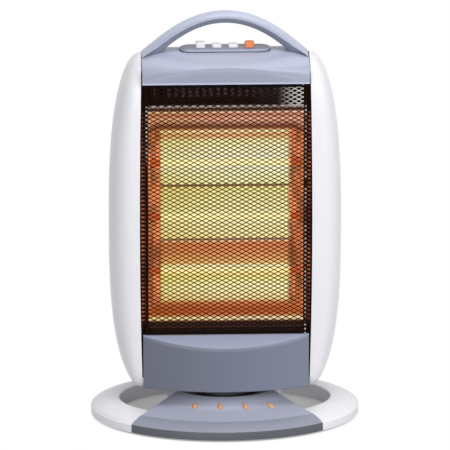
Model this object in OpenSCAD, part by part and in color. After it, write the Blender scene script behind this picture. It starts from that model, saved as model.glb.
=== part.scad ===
// Halogen room heater: three quartz tubes behind a mesh grille, in a body that swings on an oval base.
// Millimetres. +Z is up, the grille faces -Y, and the origin is on the floor under the swing axis.

/* [Base] */
// Width of the oval base
base_w = 346; // [328:1:368]
// Depth of the oval base
base_d = 244; // [230:1:262]
// Width of the ring at its sides
ring_side = 37; // [31:1:42]
// Width of the ring at its front and back
ring_end = 40; // [34:1:44]
// Height of the rubber feet
foot_h = 3; // [2:0.5:4]
// Height of the ring's upright rim
rim_h = 10.5; // [8:0.5:12]
// Rise of the ring's top from the rim to its inner edge
ring_rise = 9.5; // [7:0.5:11]
// Width of the oval hub
hub_w = 124; // [116:1:130]
// Depth of the oval hub
hub_d = 86; // [82:1:92]
// Height of the hub's top above the floor
hub_h = 36; // [34:1:42]
// Half of the oval's angle that the front cover takes
cover_angle = 45; // [40:1:50]
// Number of flame marks on the front cover
mark_count = 4; // [3:1:5]

/* [Body] */
// Gap between the hub and the underside of the body
body_gap = 14; // [12:1:18]
// Width of the covers and the grille between the side panels
core_w = 212.4; // [208:0.2:216]
// Width across both side panels
body_w = 298; // [288:1:310]
// Height of the lower panel
lower_h = 71; // [66:1:80]
// Height of the grille window
window_h = 333; // [325:1:345]
// Height of the top cover
upper_h = 33; // [31:1:40]
// Distance from the swing axis forward to the face of the grille
grille_y = 48; // [46:1:52]
// Distance from the swing axis forward to the crown of the covers
crown_y = 71; // [68:1:75]
// How far the covers bow forward from their ends to the crown
crown_sag = 22.5; // [19:0.5:25]
// Distance from the swing axis back to the rear cover's face
rear_y = 44; // [42:1:50]
// Wall of the plastic covers
wall = 2.5; // [2:0.1:3]
// Thickness of the steel sheet
sheet = 1.2; // [0.8:0.1:1.5]

/* [Handle and controls] */
// Height of the handle's top above the top cover
handle_h = 50.5; // [46:0.5:60]
// Depth of the handle's grip, front to back
grip_d = 26; // [22:1:32]
// Thickness of the handle's grip at its middle
grip_t = 13.8; // [12:0.2:16]
// Width of the opening under the handle, level with the cover's top
grip_w = 161; // [150:1:168]
// Width of the control plate
plate_w = 115; // [108:1:122]
// Depth of the control plate
plate_d = 28; // [24:1:32]
// Height of the control plate above the top cover
plate_t = 3.5; // [3:0.5:5]
// Distance between the keys
key_pitch = 20.8; // [18:0.2:23]
// Width of a key
key_w = 12.4; // [10:0.2:14]
// Depth of a key
key_d = 9.4; // [8:0.2:11]
// Height of a key above the control plate when it is up
key_h = 8; // [7:0.5:10]
// How far a key sinks when it is latched
key_latch = 2.7; // [2:0.1:3]
// Full travel of a key
key_travel = 3.5; // [3.2:0.1:4]

/* [Heating] */
// Height of the vented baffle between the reflector and the window's top
baffle_h = 38.5; // [34:0.5:46]
// Height of the sill between the reflector and the window's bottom
sill_h = 13.5; // [11:0.5:20]
// Height of the reflector's upper sloping wall
slope_high = 36; // [30:1:42]
// Height of the reflector's lower sloping wall
slope_low = 29; // [24:1:34]
// Diameter of a halogen tube
tube_d = 10; // [9:0.5:12]
// Depth of the reflector's troughs
trough = 30; // [26:1:32]
// Width of one opening of the grille's mesh
mesh_w = 20; // [18:1:26]
// Height of one opening of the grille's mesh
mesh_h = 11; // [10:0.5:14]
// Width of a mesh strand
strand = 1.6; // [1.2:0.1:2.2]

/* [Swing drive] */
// Diameter of the pivot post
post_d = 24; // [22:1:26]
// Distance from the swing axis to the motor's axis
motor_y = 26; // [25:0.5:28]
// Diameter of the motor
motor_d = 49; // [44:1:52]
// Half of the swing
swing = 35; // [25:1:38]

/* [Hidden] */

grey = "#a9aec4";
white = "#efedf4";
black = "#1c1a1a";
steel = "#c8c8cc";
orange = "#f08040";
$fn = 64;
far = 400;
seat = 0.3;        // Gap between neighbours that are clipped together
running = 0.08;    // Radial clearance of a turning fit

// Levels above the floor
rim_z = foot_h + rim_h;
crest_z = rim_z + ring_rise;
plate_z = foot_h + 2;
body_z = hub_h + body_gap;
floor_z = body_z + 3;
window_z = body_z + lower_h;
window_top = window_z + window_h;
body_top = window_top + upper_h;
rim_low = window_z + sill_h;          // Lower and upper edges of the reflector's mouth
rim_high = window_top - baffle_h;
tube_pitch = (rim_high - slope_high - rim_low - slope_low) / 3;
tube_z = rim_low + slope_low + 1.5 * tube_pitch;
shelf_low_z = window_z + sheet;
shelf_high_z = window_top + sheet;

half = core_w / 2;
rail_x = half - wall - 0.2;           // Outer face of the side rails
inner_x = rail_x - sheet;             // Inner face of the side rails
front_r = (half * half + crown_sag * crown_sag) / (2 * crown_sag);
front_c = front_r - crown_y;          // Centre of the covers' bowed front
ledge_low = 11.5;                     // Drop of the lower panel's ledge at the crown
ledge_high = 24.5;                    // Rise of the top cover's ledge at the crown
rail_front = grille_y - 6;            // Front edge of the side rails
rear_in = rear_y - wall;              // Inner face of the rear cover

// ---------- Helpers ----------

function arc(cx, cy, r, a0, a1, n) =
    [for (i = [0:n]) let (a = a0 + (a1 - a0) * i / n) [cx + r * cos(a), cy + r * sin(a)]];

function round_rect(w, d, r, n = 5) = concat(
    arc(w / 2 - r, d / 2 - r, r, 0, 90, n), arc(r - w / 2, d / 2 - r, r, 90, 180, n),
    arc(r - w / 2, r - d / 2, r, 180, 270, n), arc(w / 2 - r, r - d / 2, r, 270, 360, n));

function oval(w, d, n) = [for (i = [0:n - 1]) [w / 2 * cos(360 * i / n), d / 2 * sin(360 * i / n)]];

function mix(a, b, t) = a + (b - a) * t;

// The triangles across a ring of n points, between its first half and its second half in reverse
function rungs(n) = concat(
    [for (i = [0:floor(n / 2) - 2]) each [[i, i + 1, n - 2 - i], [i, n - 2 - i, n - 1 - i]]],
    n % 2 == 0 ? [] : [[for (i = [-1:1]) (n - 1) / 2 + i]]);

// A skin over equal rings of points, closed at both ends
module skin(rings) {
    n = len(rings[0]);
    last = len(rings) - 1;
    side = [for (i = [0:last - 1]) for (j = [0:n - 1])
        let (a = i * n + j, b = i * n + (j + 1) % n) each [[a, a + n, b], [b, a + n, b + n]]];
    ends = concat(rungs(n), [for (t = rungs(n)) [for (k = [2:-1:0]) last * n + t[k]]]);
    polyhedron([for (r = rings) each r], concat(side, ends), convexity = 6);
}

// A flat plate that stands across the body, drawn in X and Z, from y0 back to y1
module upright(y0, y1) {
    translate([0, y1, 0]) rotate([90, 0, 0]) linear_extrude(y1 - y0) children();
}

// A profile drawn in Y and Z, run along X from x0 to x1
module along_x(x0, x1) {
    translate([x0, 0, 0]) rotate([90, 0, 90]) linear_extrude(x1 - x0) children();
}

module rod_x(x0, x1, r) {
    translate([x0, 0, 0]) rotate([0, 90, 0]) cylinder(r = r, h = x1 - x0);
}

module both_sides() {
    children();
    mirror([1, 0, 0]) children();
}

// ---------- Base ----------

// A point of the ring's plan: s is 0 on the outer oval and 1 on the inner one
function ring_xy(a, s) = [mix(base_w / 2, base_w / 2 - ring_side, s) * cos(a),
    mix(base_d / 2, base_d / 2 - ring_end, s) * sin(a)];

function ring_z(s) = s < 0.05 ? rim_z : mix(rim_z, crest_z, 1 - pow(1 - min(1, s / 0.95), 2.4));

module base_ring() {
    steps = 54;
    profile = concat([[0, foot_h], [0, rim_z - 1.2], [0.05, rim_z]],
        [for (s = [0.15, 0.3, 0.5, 0.7, 0.95]) [s, ring_z(s)]], [[1, crest_z - 1.5], [1, foot_h]]);
    start = cover_angle - 90 + 0.3;
    color(white) skin([for (i = [0:steps]) let (a = start + (360 - 2 * cover_angle - 0.6) * i / steps)
        [for (p = profile) concat(ring_xy(a, p[0]), p[1])]]);
}

// A point on the hub's oval that faces the point at angle a of the base's oval; the front is at -90
function hub_xy(a, grow) = let (t = -90 + (a + 90) * 75 / cover_angle)
    [(hub_w / 2 + grow) * cos(t), (hub_d / 2 + grow) * sin(t)];

// The front cover's path from the hub out to the rim, inset by t everywhere. It meets the ring's
// ends, then falls a little faster over the bevel in front
bevel = 0.5;                          // Where the bevel starts, from the rim towards the inner oval
bevel_z = ring_z(bevel) + 0.5;

function cover_path(a, t) = let (
        hub = hub_xy(a, seat + t),
        inner = ring_xy(a, 1),
        edge = ring_xy(a, bevel),
        rim = ring_xy(a, t / ring_side),
        inner_z = mix(hub_h - 1, bevel_z, 0.72))
    [concat(hub, hub_h - 1 - t), concat(mix(hub, inner, 0.5), mix(hub_h - 1, inner_z, 0.5) - t),
        concat(inner, inner_z - t), concat(edge, bevel_z - t),
        concat(mix(edge, rim, 0.5), mix(bevel_z, rim_z, 0.5) + 1 - t),
        concat(rim, rim_z - t), concat(rim, foot_h)];

function floor_path(path) = [for (p = path) [p[0], p[1], foot_h]];

function reverse(list) = [for (i = [len(list) - 1:-1:0]) list[i]];

module cover_shell() {
    steps = 18;
    span = 2 * cover_angle;
    first = -90 - cover_angle;
    angles = concat([0, 1], [for (i = [1:steps - 1]) span * i / steps], [span - 1, span]);
    last = len(angles) - 1;
    skin([for (i = [0:last]) let (a = first + angles[i], inside = cover_path(a, wall))
        concat(cover_path(a, 0), reverse(i < 2 || i > last - 2 ? floor_path(inside) : inside))]);
}

module front_cover() {
    color(grey) difference() {
        cover_shell();
        mark_prisms(seat / 2);
    }
}

module hub_drum() {
    color(black) difference() {
        translate([0, 0, plate_z]) linear_extrude(hub_h - plate_z) polygon(oval(hub_w, hub_d, 60));
        translate([0, 0, plate_z - 1]) linear_extrude(hub_h - plate_z + 1 - wall)
            polygon(oval(hub_w - 2 * wall, hub_d - 2 * wall, 60));
        cylinder(d = post_d + 4, h = far);
    }
}

bridge_angle = 34;

function bridge_path(a, t) = let (
        turn = 90 + (a - 90) * 60 / bridge_angle,
        hub = [(hub_w / 2 + seat) * cos(turn), (hub_d / 2 + seat) * sin(turn)],
        edge = ring_xy(a, 1 + seat / ring_end))
    [concat(hub, hub_h - 3 - t), concat(mix(hub, edge, 0.5), crest_z + 3 - t),
        concat(edge, crest_z - 1.5 - t)];

module rear_bridge() {
    steps = 10;
    first = 90 - bridge_angle;
    angles = concat([0, 1.6], [for (i = [1:steps - 1]) 2 * bridge_angle * i / steps],
        [2 * bridge_angle - 1.6, 2 * bridge_angle]);
    last = len(angles) - 1;
    color(white) skin([for (i = [0:last]) let (a = first + angles[i], inside = bridge_path(a, wall))
        concat(bridge_path(a, 0), reverse(i < 2 || i > last - 2 ? floor_path(inside) : inside))]);
}

tip_y = hub_d / 2 + 27;               // Distance of the tip-over switch ahead of the axis
tip_travel = 6;
tip_r = 3.5;

function flat(p) = [p[0], p[1]];

// One half of the base plate's outline, from the front to the back, clear of the covers' end walls
function plate_side() = let (
        side = cover_path(cover_angle - 93, wall + seat),
        back = bridge_path(90 - bridge_angle + 4, wall + seat))
    concat([for (i = [0:10]) let (a = -90 + (cover_angle - 3) * i / 10) flat(cover_path(a, wall + seat)[5])],
        [for (k = [4:-1:0]) flat(side[k])],
        [[hub_w / 2 - 1, 0], flat(back[0]), flat(back[1])],
        [for (i = [0:5]) let (a = 90 - (bridge_angle - 4) * (1 - i / 5))
            ring_xy(a, 1 + 2 * seat / ring_end)]);

module base_plate() {
    side = plate_side();
    color(steel) difference() {
        translate([0, 0, foot_h]) linear_extrude(plate_z - foot_h)
            polygon(concat(side, [for (p = reverse(side)) [-p[0], p[1]]]));
        translate([0, -tip_y, 0]) cylinder(r = tip_r + running, h = far);
    }
}

post_top = floor_z + 6.7;
lever_z = floor_z + 1;
lever_t = 3.5;

module pivot_post() {
    color(steel) difference() {
        union() {
            translate([0, 0, plate_z]) cylinder(d = post_d, h = post_top - plate_z);
            translate([0, 0, plate_z]) cylinder(d = post_d + 20, h = 3);
        }
        cylinder(d = post_d - 7, h = far);
    }
}

// The crank's throw swings the body by the angle 'swing' each way
throw = motor_y * sin(swing);
pin_r = 1.75;
slot_half = pin_r + 0.112 * motor_y;  // Wide enough for the steady ratio between crank and swing
slot_in = motor_y * cos(swing) - pin_r - 1.5;
slot_out = motor_y + throw + pin_r + 1;

module slotted_lever() {
    color(steel) translate([0, 0, lever_z]) difference() {
        union() {
            cylinder(d = post_d + 8, h = lever_t);
            translate([-slot_half - 4, -slot_out - 4, 0]) cube([2 * slot_half + 8, slot_out + 4, lever_t]);
        }
        translate([0, 0, -1]) cylinder(d = post_d + 0.1, h = far);
        translate([-slot_half, -slot_out, -1]) cube([2 * slot_half, slot_out - slot_in, far]);
    }
}

module retaining_clip() {
    color(steel) translate([0, 0, lever_z + lever_t + 0.1]) difference() {
        cylinder(d = post_d + 7, h = 1.2);
        translate([0, 0, -1]) cylinder(d = post_d + 0.1, h = 4);
        translate([-3, 0, -1]) cube([6, post_d, 4]);
    }
}

plunger_h = plate_z + tip_travel + 2.2;

module tip_plunger() {
    color(black) translate([0, -tip_y, 0]) {
        cylinder(r = tip_r, h = plunger_h);
        translate([0, 0, plunger_h - 1.5]) cylinder(r = tip_r + 2, h = 1.5);
    }
}

module tip_switch() {
    leg = tip_r + 4;
    color("#d8d2c0") translate([0, -tip_y, 0]) {
        translate([-leg - 2, -4, plunger_h + 0.3]) cube([2 * leg + 4, 8, 8]);
        both_sides() translate([leg, -4, plate_z]) cube([2, 8, plunger_h + 0.3 - plate_z]);
    }
}

function foot_places() = concat(
    [for (a = [20, 58, 122, 160]) ring_xy(a, 0.5)],
    [for (a = [-125, -55]) ring_xy(a, 0.75)]);

module rubber_feet() {
    color(black) for (p = foot_places()) translate([p[0], p[1], 0]) cylinder(d = 15, h = foot_h);
}

// Leaf-shaped marks let into the front cover in a row, each leaning a little more than the last
mark_pitch = 32.5;
mark_shift = 8;                       // The row lies a little to the right of the middle
mark_reach = 9;
mark_bulge = 3.3;
mark_proud = 0.5;

module mark_prisms(grow) {
    reach = mark_reach + grow;
    bulge = mark_bulge + grow;
    r = (reach * reach + bulge * bulge) / (2 * bulge);
    lean = asin(reach / r);
    for (i = [0:mark_count - 1]) let (place = i - (mark_count - 1) / 2)
        translate([mark_shift + mark_pitch * place, -hub_d / 2 - 23 + 2.5 * pow(place, 2), foot_h])
            rotate([0, 0, 11 + 10 * place]) linear_extrude(hub_h) polygon(concat(
                arc(bulge - r, 0, r, -lean, lean, 6), arc(r - bulge, 0, r, 180 - lean, 180 + lean, 6)));
}

module flame_marks() {
    color(orange) intersection() {
        translate([0, 0, mark_proud]) cover_shell();
        mark_prisms(0);
    }
}

// ---------- Swinging body: housing ----------

module turntable() {
    color(black) translate([0, 0, hub_h + seat]) difference() {
        cylinder(d = hub_d - 4, h = body_gap - seat);
        translate([0, 0, -1]) cylinder(r = post_d / 2 + running, h = far);
    }
}

// The covers' bowed plan, shrunk by t, from the crown back to y = back
module bowed(t, back, z0, z1) {
    intersection() {
        translate([0, front_c, z0]) cylinder(r = front_r - t, h = z1 - z0, $fn = 180);
        translate([-half + t, -crown_y, z0]) cube([core_w - 2 * t, crown_y + back, z1 - z0]);
    }
}

module floor_pan() {
    color(black) difference() {
        bowed(wall + 0.2, rear_in, body_z, floor_z);
        translate([0, 0, body_z - 1]) cylinder(d = post_d + 1.5, h = 9);
    }
}

// Everything above a plane that falls forward by 'drop' between the grille and the crown
module above_ledge(z, drop) {
    slope = drop / (crown_y - grille_y);
    along_x(-far, far) polygon([for (y = [-grille_y - 60, rear_y + 10]) [y, z + slope * (y + grille_y)],
        [rear_y + 10, z + far], [-grille_y - 60, z + far]]);
}

module lower_panel() {
    color(grey) difference() {
        bowed(0, -rail_front - seat, body_z, window_z);
        above_ledge(window_z - 1, ledge_low);
        difference() {
            bowed(wall, 0, body_z - 1, window_z - wall);
            above_ledge(window_z - 1 - wall * 1.2, ledge_low);
        }
    }
}

// A side panel's shape at height z: how far z lies from the panel's middle towards its tips, the
// inner and outer edges seen from the front, and the front and rear edges seen from the side
panel_low = body_z - 7;
panel_high = body_top - 4;
panel_mid = mix(panel_low, panel_high, 0.47);
function to_tip(z) = min(0.997,
    abs(z - panel_mid) / (z > panel_mid ? panel_high - panel_mid : panel_mid - panel_low));
function inner_edge(z) = half + 3.8 - 3 * pow(to_tip(z), 2);
function outer_edge(z) = mix(inner_edge(z), body_w / 2, sqrt(1 - pow(to_tip(z), 2.65)));
function narrow(z) = sqrt(1 - pow(to_tip(z), z > panel_mid ? 12 : 30));
function panel_front(z) = (grille_y + 2 - 4 * pow(to_tip(z), 2)) * narrow(z);
function panel_rear(z) = (rear_y - 2 - 4 * pow(to_tip(z), 2)) * narrow(z);

// How far a side panel's inside lies ahead of its middle, at height z and x out, where its edge is d ahead
function inside_y(z, x, d) = let (c = (x - inner_edge(z)) / (outer_edge(z) - inner_edge(z) - wall))
    (d - wall) * pow(1 - pow(c, 8 / 3), 3 / 8);

// One level of a side panel: out along the outer face, and back along the inner one
function panel_ring(z, n) = let (
        x0 = inner_edge(z), reach = outer_edge(z) - x0, f = panel_front(z), b = panel_rear(z),
        thin = min(wall, reach * 0.6),
        face = function (t) [for (i = [0:n]) let (a = -90 + 180 * i / n, c = pow(cos(a), 0.75),
                s = sign(a) * pow(abs(sin(a)), 0.75), d = a < 0 ? f : b)
            [x0 + (reach - t) * c, s * (d - (t > 0 ? min(wall, d / 2) : 0)), z]])
    concat(face(0), reverse(face(thin)));

module side_panel() {
    rows = 28;
    skin([for (i = [0:rows]) let (a = mix(-85.6, 85.6, i / rows))
        panel_ring(panel_mid + sin(a) * (a > 0 ? panel_high - panel_mid : panel_mid - panel_low), 20)]);
}

module side_panel_right() { color(white) side_panel(); }

module side_panel_left() { color(white) mirror([1, 0, 0]) side_panel(); }

// Outline of the top cover from the front: level on top, falling away under the handle's feet
shoulder_w = 34;
shoulder_h = 12;
function cover_outline(t) = let (curve = [for (i = [0:8]) let (a = 90 * i / 8)
        [half - t - shoulder_w * (1 - cos(a)), body_top - t - shoulder_h * (1 - sin(a))]])
    concat([[half - t, 0]], curve, [for (p = reverse(curve)) [-p[0], p[1]]], [[t - half, 0]]);

// The top cover's outside, shrunk by t: its roof climbs in a quarter of an oval from the bowed front
// to the level seat of the control plate, and falls away behind it
roof_rise = 10;
roof_fall = 13;
seat_front = 47;
module top_block(t) {
    low = window_top - 1;
    seat_back = plate_d / 2 + 6;
    centre_r = front_r - crown_y - far / 2;
    intersection() {
        translate([0, front_c, 0]) rotate_extrude($fn = 180) polygon(concat(
            [[max(0, centre_r), low], [front_r - t, low]],
            [for (i = [0:9]) let (a = 10 * i)
                [front_r - t - (seat_front - t) * (1 - cos(a)), body_top - t - roof_rise * (1 - sin(a))]],
            [[max(0, centre_r), body_top - t]]));
        upright(-crown_y - 1, rear_y - t) polygon(cover_outline(t));
        along_x(-half, half) polygon(concat([[-crown_y - 1, low], [-crown_y - 1, body_top - t]],
            [for (i = [0:6]) [mix(seat_back, rear_y - t, i / 6), body_top - t - roof_fall * pow(i / 6, 2)]],
            [[rear_y - t, low]]));
    }
}

module top_cover() {
    lip = 1.5;
    color(grey) difference() {
        intersection() {
            top_block(0);
            translate([-far / 2, -far / 2, window_top]) cube([far, far, far]);
            union() {
                above_ledge(window_top + lip, -ledge_high + lip);
                translate([-half, -grille_y - lip, window_top]) cube([core_w, far, upper_h]);
            }
        }
        intersection() {
            top_block(wall);
            above_ledge(window_top + lip + wall * 1.6, -ledge_high + lip);
        }
        translate([-half + wall, -grille_y + wall, window_top - 1])
            cube([core_w - 2 * wall, grille_y + rear_y - 2 * wall, 12]);
        translate([0, 0, body_top - 9]) linear_extrude(20)
            polygon(round_rect(plate_w - 8, plate_d - 8, plate_d / 2 - 4.1, 8));
    }
}

// The handle's outer and inner curves, seen from the front. Its section is widest a little below the
// middle, with a broad upper face and a narrower lower one
handle_top = body_top + handle_h;
grip_low = handle_top - grip_t;
foot_z = body_top - 5;
grip_edge = 1.15;
function grip_outer(x) = handle_top - (handle_top - foot_z) * pow(x / half, 2);
function grip_inner(x) = grip_low - (grip_low - body_top) * pow(2 * x / grip_w, 2);

module carry_handle() {
    steps = 28;
    inner_reach = half - 6;
    color(grey) difference() {
        skin([for (i = [0:steps]) let (
                t = 2 * i / steps - 1,
                top = [half * t, grip_outer(half * t)],
                low = [inner_reach * t, grip_inner(inner_reach * t)],
                deep = grip_d / 2 + 5 * t * t)
            [for (k = [0:15]) let (u = 360 * k / 16, v = (1 - pow(abs(sin(u)), grip_edge) * sign(sin(u))) / 2,
                    p = mix(top, low, pow(v, 0.8)))
                [p[0], deep * pow(abs(cos(u)), grip_edge) * sign(cos(u)), p[1]]]]);
        upright(-60, 60) polygon(cover_outline(0));
    }
}

// ---------- Controls ----------

plate_top = body_top + plate_t;
function key_x(i) = (i - 1.5) * key_pitch;

module control_plate() {
    color(grey) difference() {
        union() {
            translate([0, 0, body_top]) linear_extrude(plate_t - 1)
                polygon(round_rect(plate_w, plate_d, plate_d / 2 - 0.1, 10));
            translate([0, 0, plate_top - 1]) linear_extrude(1)
                polygon(round_rect(plate_w - 2.4, plate_d - 2.4, plate_d / 2 - 1.3, 10));
            translate([0, 0, body_top - wall]) linear_extrude(wall)
                polygon(round_rect(plate_w - 8.6, plate_d - 8.6, plate_d / 2 - 4.4, 8));
        }
        for (i = [0:3]) translate([key_x(i), 0, body_top - 10]) linear_extrude(30)
            polygon(round_rect(key_w + 0.8, key_d + 0.8, 1.6));
    }
}

bank_top = body_top - 7.5;
bank_h = 19;
stem_h = 13;                            // Reach of a key's stem below the control plate's top
stem_low = body_top - stem_h;

// A key: its cap, which runs in the control plate, and its stem, which runs in the switch bank
module key(i, sunk, tint) {
    color(tint) translate([key_x(i), 0, plate_top - sunk]) {
        translate([0, 0, -plate_t - 3]) linear_extrude(plate_t + 3 + key_h - 1)
            polygon(round_rect(key_w, key_d, 1.5));
        translate([0, 0, key_h - 1]) linear_extrude(1) polygon(round_rect(key_w - 1.6, key_d - 1.6, 1));
        translate([-2, -2, -plate_t - stem_h]) cube([4, 4, stem_h - 2]);
    }
}

module key_low() { key(0, 0, white); }
module key_medium() { key(1, key_latch, white); }
module key_high() { key(2, key_latch, white); }
module key_swing() { key(3, 0, orange); }

module switch_bank() {
    w = 3 * key_pitch + 26;
    color(black) difference() {
        union() {
            translate([-w / 2, -10, bank_top - bank_h]) cube([w, 20, bank_h]);
            both_sides() translate([w / 2 - 4, -13, bank_top - bank_h]) cube([4, 26, bank_h]);
            both_sides() for (y = [-15.5, 15.5]) translate([w / 2 - 2, y, bank_top - 8])
                cylinder(d = 7, h = 8 + 7.5 - wall);
        }
        for (i = [0:3]) translate([key_x(i) - 2.4, -2.4, stem_low - key_travel - 1]) cube([4.8, 4.8, 20]);
    }
}

// ---------- Back and frame ----------

vent_pitch = 9;
vent_high = 62;                       // Drop of the highest row of rear vents below the window's top
vent_low = 56;                        // Rise of the lowest row above the window's bottom
vent_step = 34;

module vent_rows(count, z) {
    for (i = [0:count - 1]) translate([(i - (count - 1) / 2) * vent_pitch, z])
        polygon(round_rect(3.6, 26, 1.7, 3));
}

function screw_places() = [for (z = [floor_z + 20, window_z + window_h / 2, window_top - 20])
    for (x = [-1, 1]) [x * (half - 8), z]];

gland_x = half - 44;
gland_z = floor_z + 22;

module rear_cover() {
    color(white) difference() {
        upright(rear_in, rear_y) difference() {
            translate([-half, floor_z]) square([core_w, window_top - floor_z]);
            for (k = [0, 1]) {
                vent_rows(17, window_top - vent_high - vent_step * k);
                vent_rows(17, window_z + vent_low + vent_step * k);
            }
            vent_rows(9, floor_z + 40);
        }
        for (p = screw_places()) translate([p[0], rear_y + 1, p[1]]) rotate([90, 0, 0]) cylinder(d = 3.6, h = 9);
        translate([gland_x, rear_y + 1, gland_z]) rotate([90, 0, 0]) cylinder(d = 12.2, h = 9);
    }
}

module rear_screws() {
    color(steel) for (p = screw_places()) translate([p[0], rear_y, p[1]]) rotate([90, 0, 0]) {
        translate([0, 0, -2]) cylinder(d = 7, h = 2);
        translate([0, 0, -1]) cylinder(d = 3.4, h = 8);
    }
}

module cord_gland() {
    color(black) translate([gland_x, 0, gland_z]) rotate([-90, 0, 0]) difference() {
        union() {
            translate([0, 0, rear_y]) cylinder(d = 17, h = 4);
            translate([0, 0, rear_y - 12]) cylinder(d = 12, h = 13);
        }
        translate([0, 0, rear_y - 13]) cylinder(d = 7.4, h = 20);
    }
}

// A side rail: a web with its front and rear flanges, a strip that closes the gap beside the grille,
// and the tabs that hold the side panel
strip_y = rail_front - 3;
module rail() {
    low = floor_z;
    high = window_top + 10;
    strip_low = floor_z + 8;
    strip_top = window_top - seat;
    tab_h = 14;
    tab_z = [low + 45, panel_mid, high - 30];
    difference() {
        union() {
            translate([inner_x, -rail_front, low]) cube([sheet, rail_front + rear_in, high - low]);
            translate([inner_x - 3, -rail_front, window_z + 4]) cube([4, sheet, window_h - 8]);
            translate([inner_x - 12, rear_in - sheet, low]) cube([12 + sheet / 2, sheet, window_top - low]);
            upright(-strip_y, -strip_y + sheet) polygon(concat([[inner_x, strip_top], [inner_x, strip_low]],
                [for (i = [0:12]) let (z = mix(strip_low, strip_top, i / 12)) [inner_edge(z) + 2, z]]));
            for (z = tab_z) let (
                    tip = inner_edge(z) + 9,
                    b = min([for (h = [z, z + tab_h]) inside_y(h, tip, panel_rear(h))]) - seat)
                translate([inner_x, min(b, rear_in) - sheet, z]) cube([tip - inner_x, sheet, tab_h]);
        }
        for (p = screw_places()) translate([abs(p[0]), rear_y, p[1]])
            rotate([90, 0, 0]) cylinder(d = 3.6, h = 9);
    }
}

module rail_right() { color(black) rail(); }

module rail_left() { color(black) mirror([1, 0, 0]) rail(); }

loom_x = 22 - inner_x;
loom_y = 22;

module shelf(z) {
    color(steel) difference() {
        translate([-inner_x, -rail_front + sheet, z])
            cube([2 * inner_x, rail_front + rear_in - 2 * sheet, sheet]);
        translate([loom_x, loom_y, z - 1]) cylinder(d = 9, h = 4);
    }
}

module lower_shelf() { shelf(shelf_low_z); }

module upper_shelf() { shelf(shelf_high_z); }

// ---------- Heating ----------

rim_y = rail_front - 8;                  // The reflector's rim, ahead of the axis
back_y = rim_y - trough;
field = 3 * tube_pitch;
rim_x = inner_x - 3.3;
back_x = rim_x - 16;
glow_y = back_y + 0.6 * trough;          // The tubes, ahead of the axis

// The reflector's section: a rim, a sloping wall, three shallow troughs and the same again
trough_line = concat(
    [[-rim_y, rim_low - 8], [-rim_y, rim_low]],
    [for (k = [0:2]) for (i = [0:(k == 2 ? 6 : 5)]) let (u = i / 6, dip = 4 * 5 * u * (1 - u))
        [-back_y + dip, tube_z - field / 2 + tube_pitch * (k + u)]],
    [[-rim_y, rim_high], [-rim_y, rim_high + 5]]);

module reflector() {
    back = [for (p = reverse(trough_line)) [p[0] + 1, p[1]]];
    color(steel) {
        difference() {
            along_x(-rim_x, rim_x) polygon(concat(trough_line, back));
            both_sides() wall_cut();
        }
        both_sides() end_wall();
    }
}

// The space beyond a sloping end wall
module wall_cut() {
    linear_extrude(far * 2, center = true)
        polygon([[rim_x + 0.5, -far], [rim_x + 0.5, -rim_y], [back_x + 0.5, -back_y], [back_x + 0.5, far],
            [far, far], [far, -far]]);
}

module end_wall() {
    difference() {
        translate([0, 0, rim_low - 8]) linear_extrude(rim_high - rim_low + 13)
            polygon([[inner_x, -rim_y], [rim_x, -rim_y], [back_x, -back_y], [back_x, -back_y + 7],
                [back_x + 1, -back_y + 7], [back_x + 1, -back_y], [rim_x + 1, -rim_y + 1], [inner_x, -rim_y + 1]]);
        for (k = [-1:1]) translate([0, -glow_y, tube_z + k * tube_pitch])
            rod_x(back_x - 5, inner_x + 5, cap_r + 0.5);
    }
}

module upper_baffle() {
    count = 21;
    slot_h = 16;
    low = rim_high + 5;
    color(black) upright(-rim_y + 12, -rim_y + 12 + sheet) difference() {
        translate([-inner_x, low]) square([2 * inner_x, shelf_high_z - low]);
        for (i = [0:count - 1]) translate([(i - (count - 1) / 2) * vent_pitch, (low + shelf_high_z) / 2])
            polygon(round_rect(4, slot_h, 1.5, 2));
    }
}

cap_in = rim_x - 2;                      // Where a tube enters its ceramic cap
cap_deep = 2.8;
cap_r = tube_d / 2 + 1.5;
support_pitch = 25;                      // Between the coils that hold a filament in its tube

module quartz_tube(k) {
    color("#ffe9b0") translate([0, -glow_y, tube_z + k * tube_pitch]) difference() {
        rod_x(-cap_in - cap_deep, cap_in + cap_deep, tube_d / 2);
        rod_x(1 - cap_in - cap_deep, cap_in + cap_deep - 1, tube_d / 2 - 1);
    }
}

module tube_upper() { quartz_tube(1); }

module tube_middle() { quartz_tube(0); }

module tube_lower() { quartz_tube(-1); }

module filaments() {
    color(orange) for (k = [-1:1]) translate([0, -glow_y, tube_z + k * tube_pitch]) {
        rod_x(1.1 - cap_in - cap_deep, cap_in + cap_deep - 1.1, 0.9);
        for (i = [-3:3]) translate([support_pitch * i, 0, 0]) rod_x(-0.4, 0.4, tube_d / 2 - 1.1);
    }
}

module tube_caps() {
    color("#f3efe4") both_sides() for (k = [-1:1]) translate([0, -glow_y, tube_z + k * tube_pitch])
        difference() {
            rod_x(cap_in, inner_x - sheet, cap_r);
            rod_x(cap_in - 1, cap_in + cap_deep + 0.1, tube_d / 2 + 0.1);
        }
}

module tube_brackets() {
    color(steel) both_sides() translate([inner_x - sheet, -glow_y - 8, tube_z - tube_pitch - 15])
        cube([sheet, 16, 2 * tube_pitch + 30]);
}

module thermal_cutout() {
    color(black) translate([-55, 14, shelf_high_z - 7]) cylinder(d = 16, h = 7);
}

// ---------- Mesh grille ----------

mesh_t = 1;
bend_x = half - 8.2;                     // Where the grille's sides bend back

// Rows of diamond openings, every other row half an opening along
function diamonds(w, h) = let (rows = floor((h - 4) / (mesh_h / 2)) - 1, cols = floor((w - 4) / mesh_w))
    [for (r = [0:rows - 1]) for (c = [0:(r % 2 == 0 ? cols - 1 : cols - 2)])
        [(c - (r % 2 == 0 ? cols - 1 : cols - 2) / 2) * mesh_w, (r - (rows - 1) / 2) * mesh_h / 2]];

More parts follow.
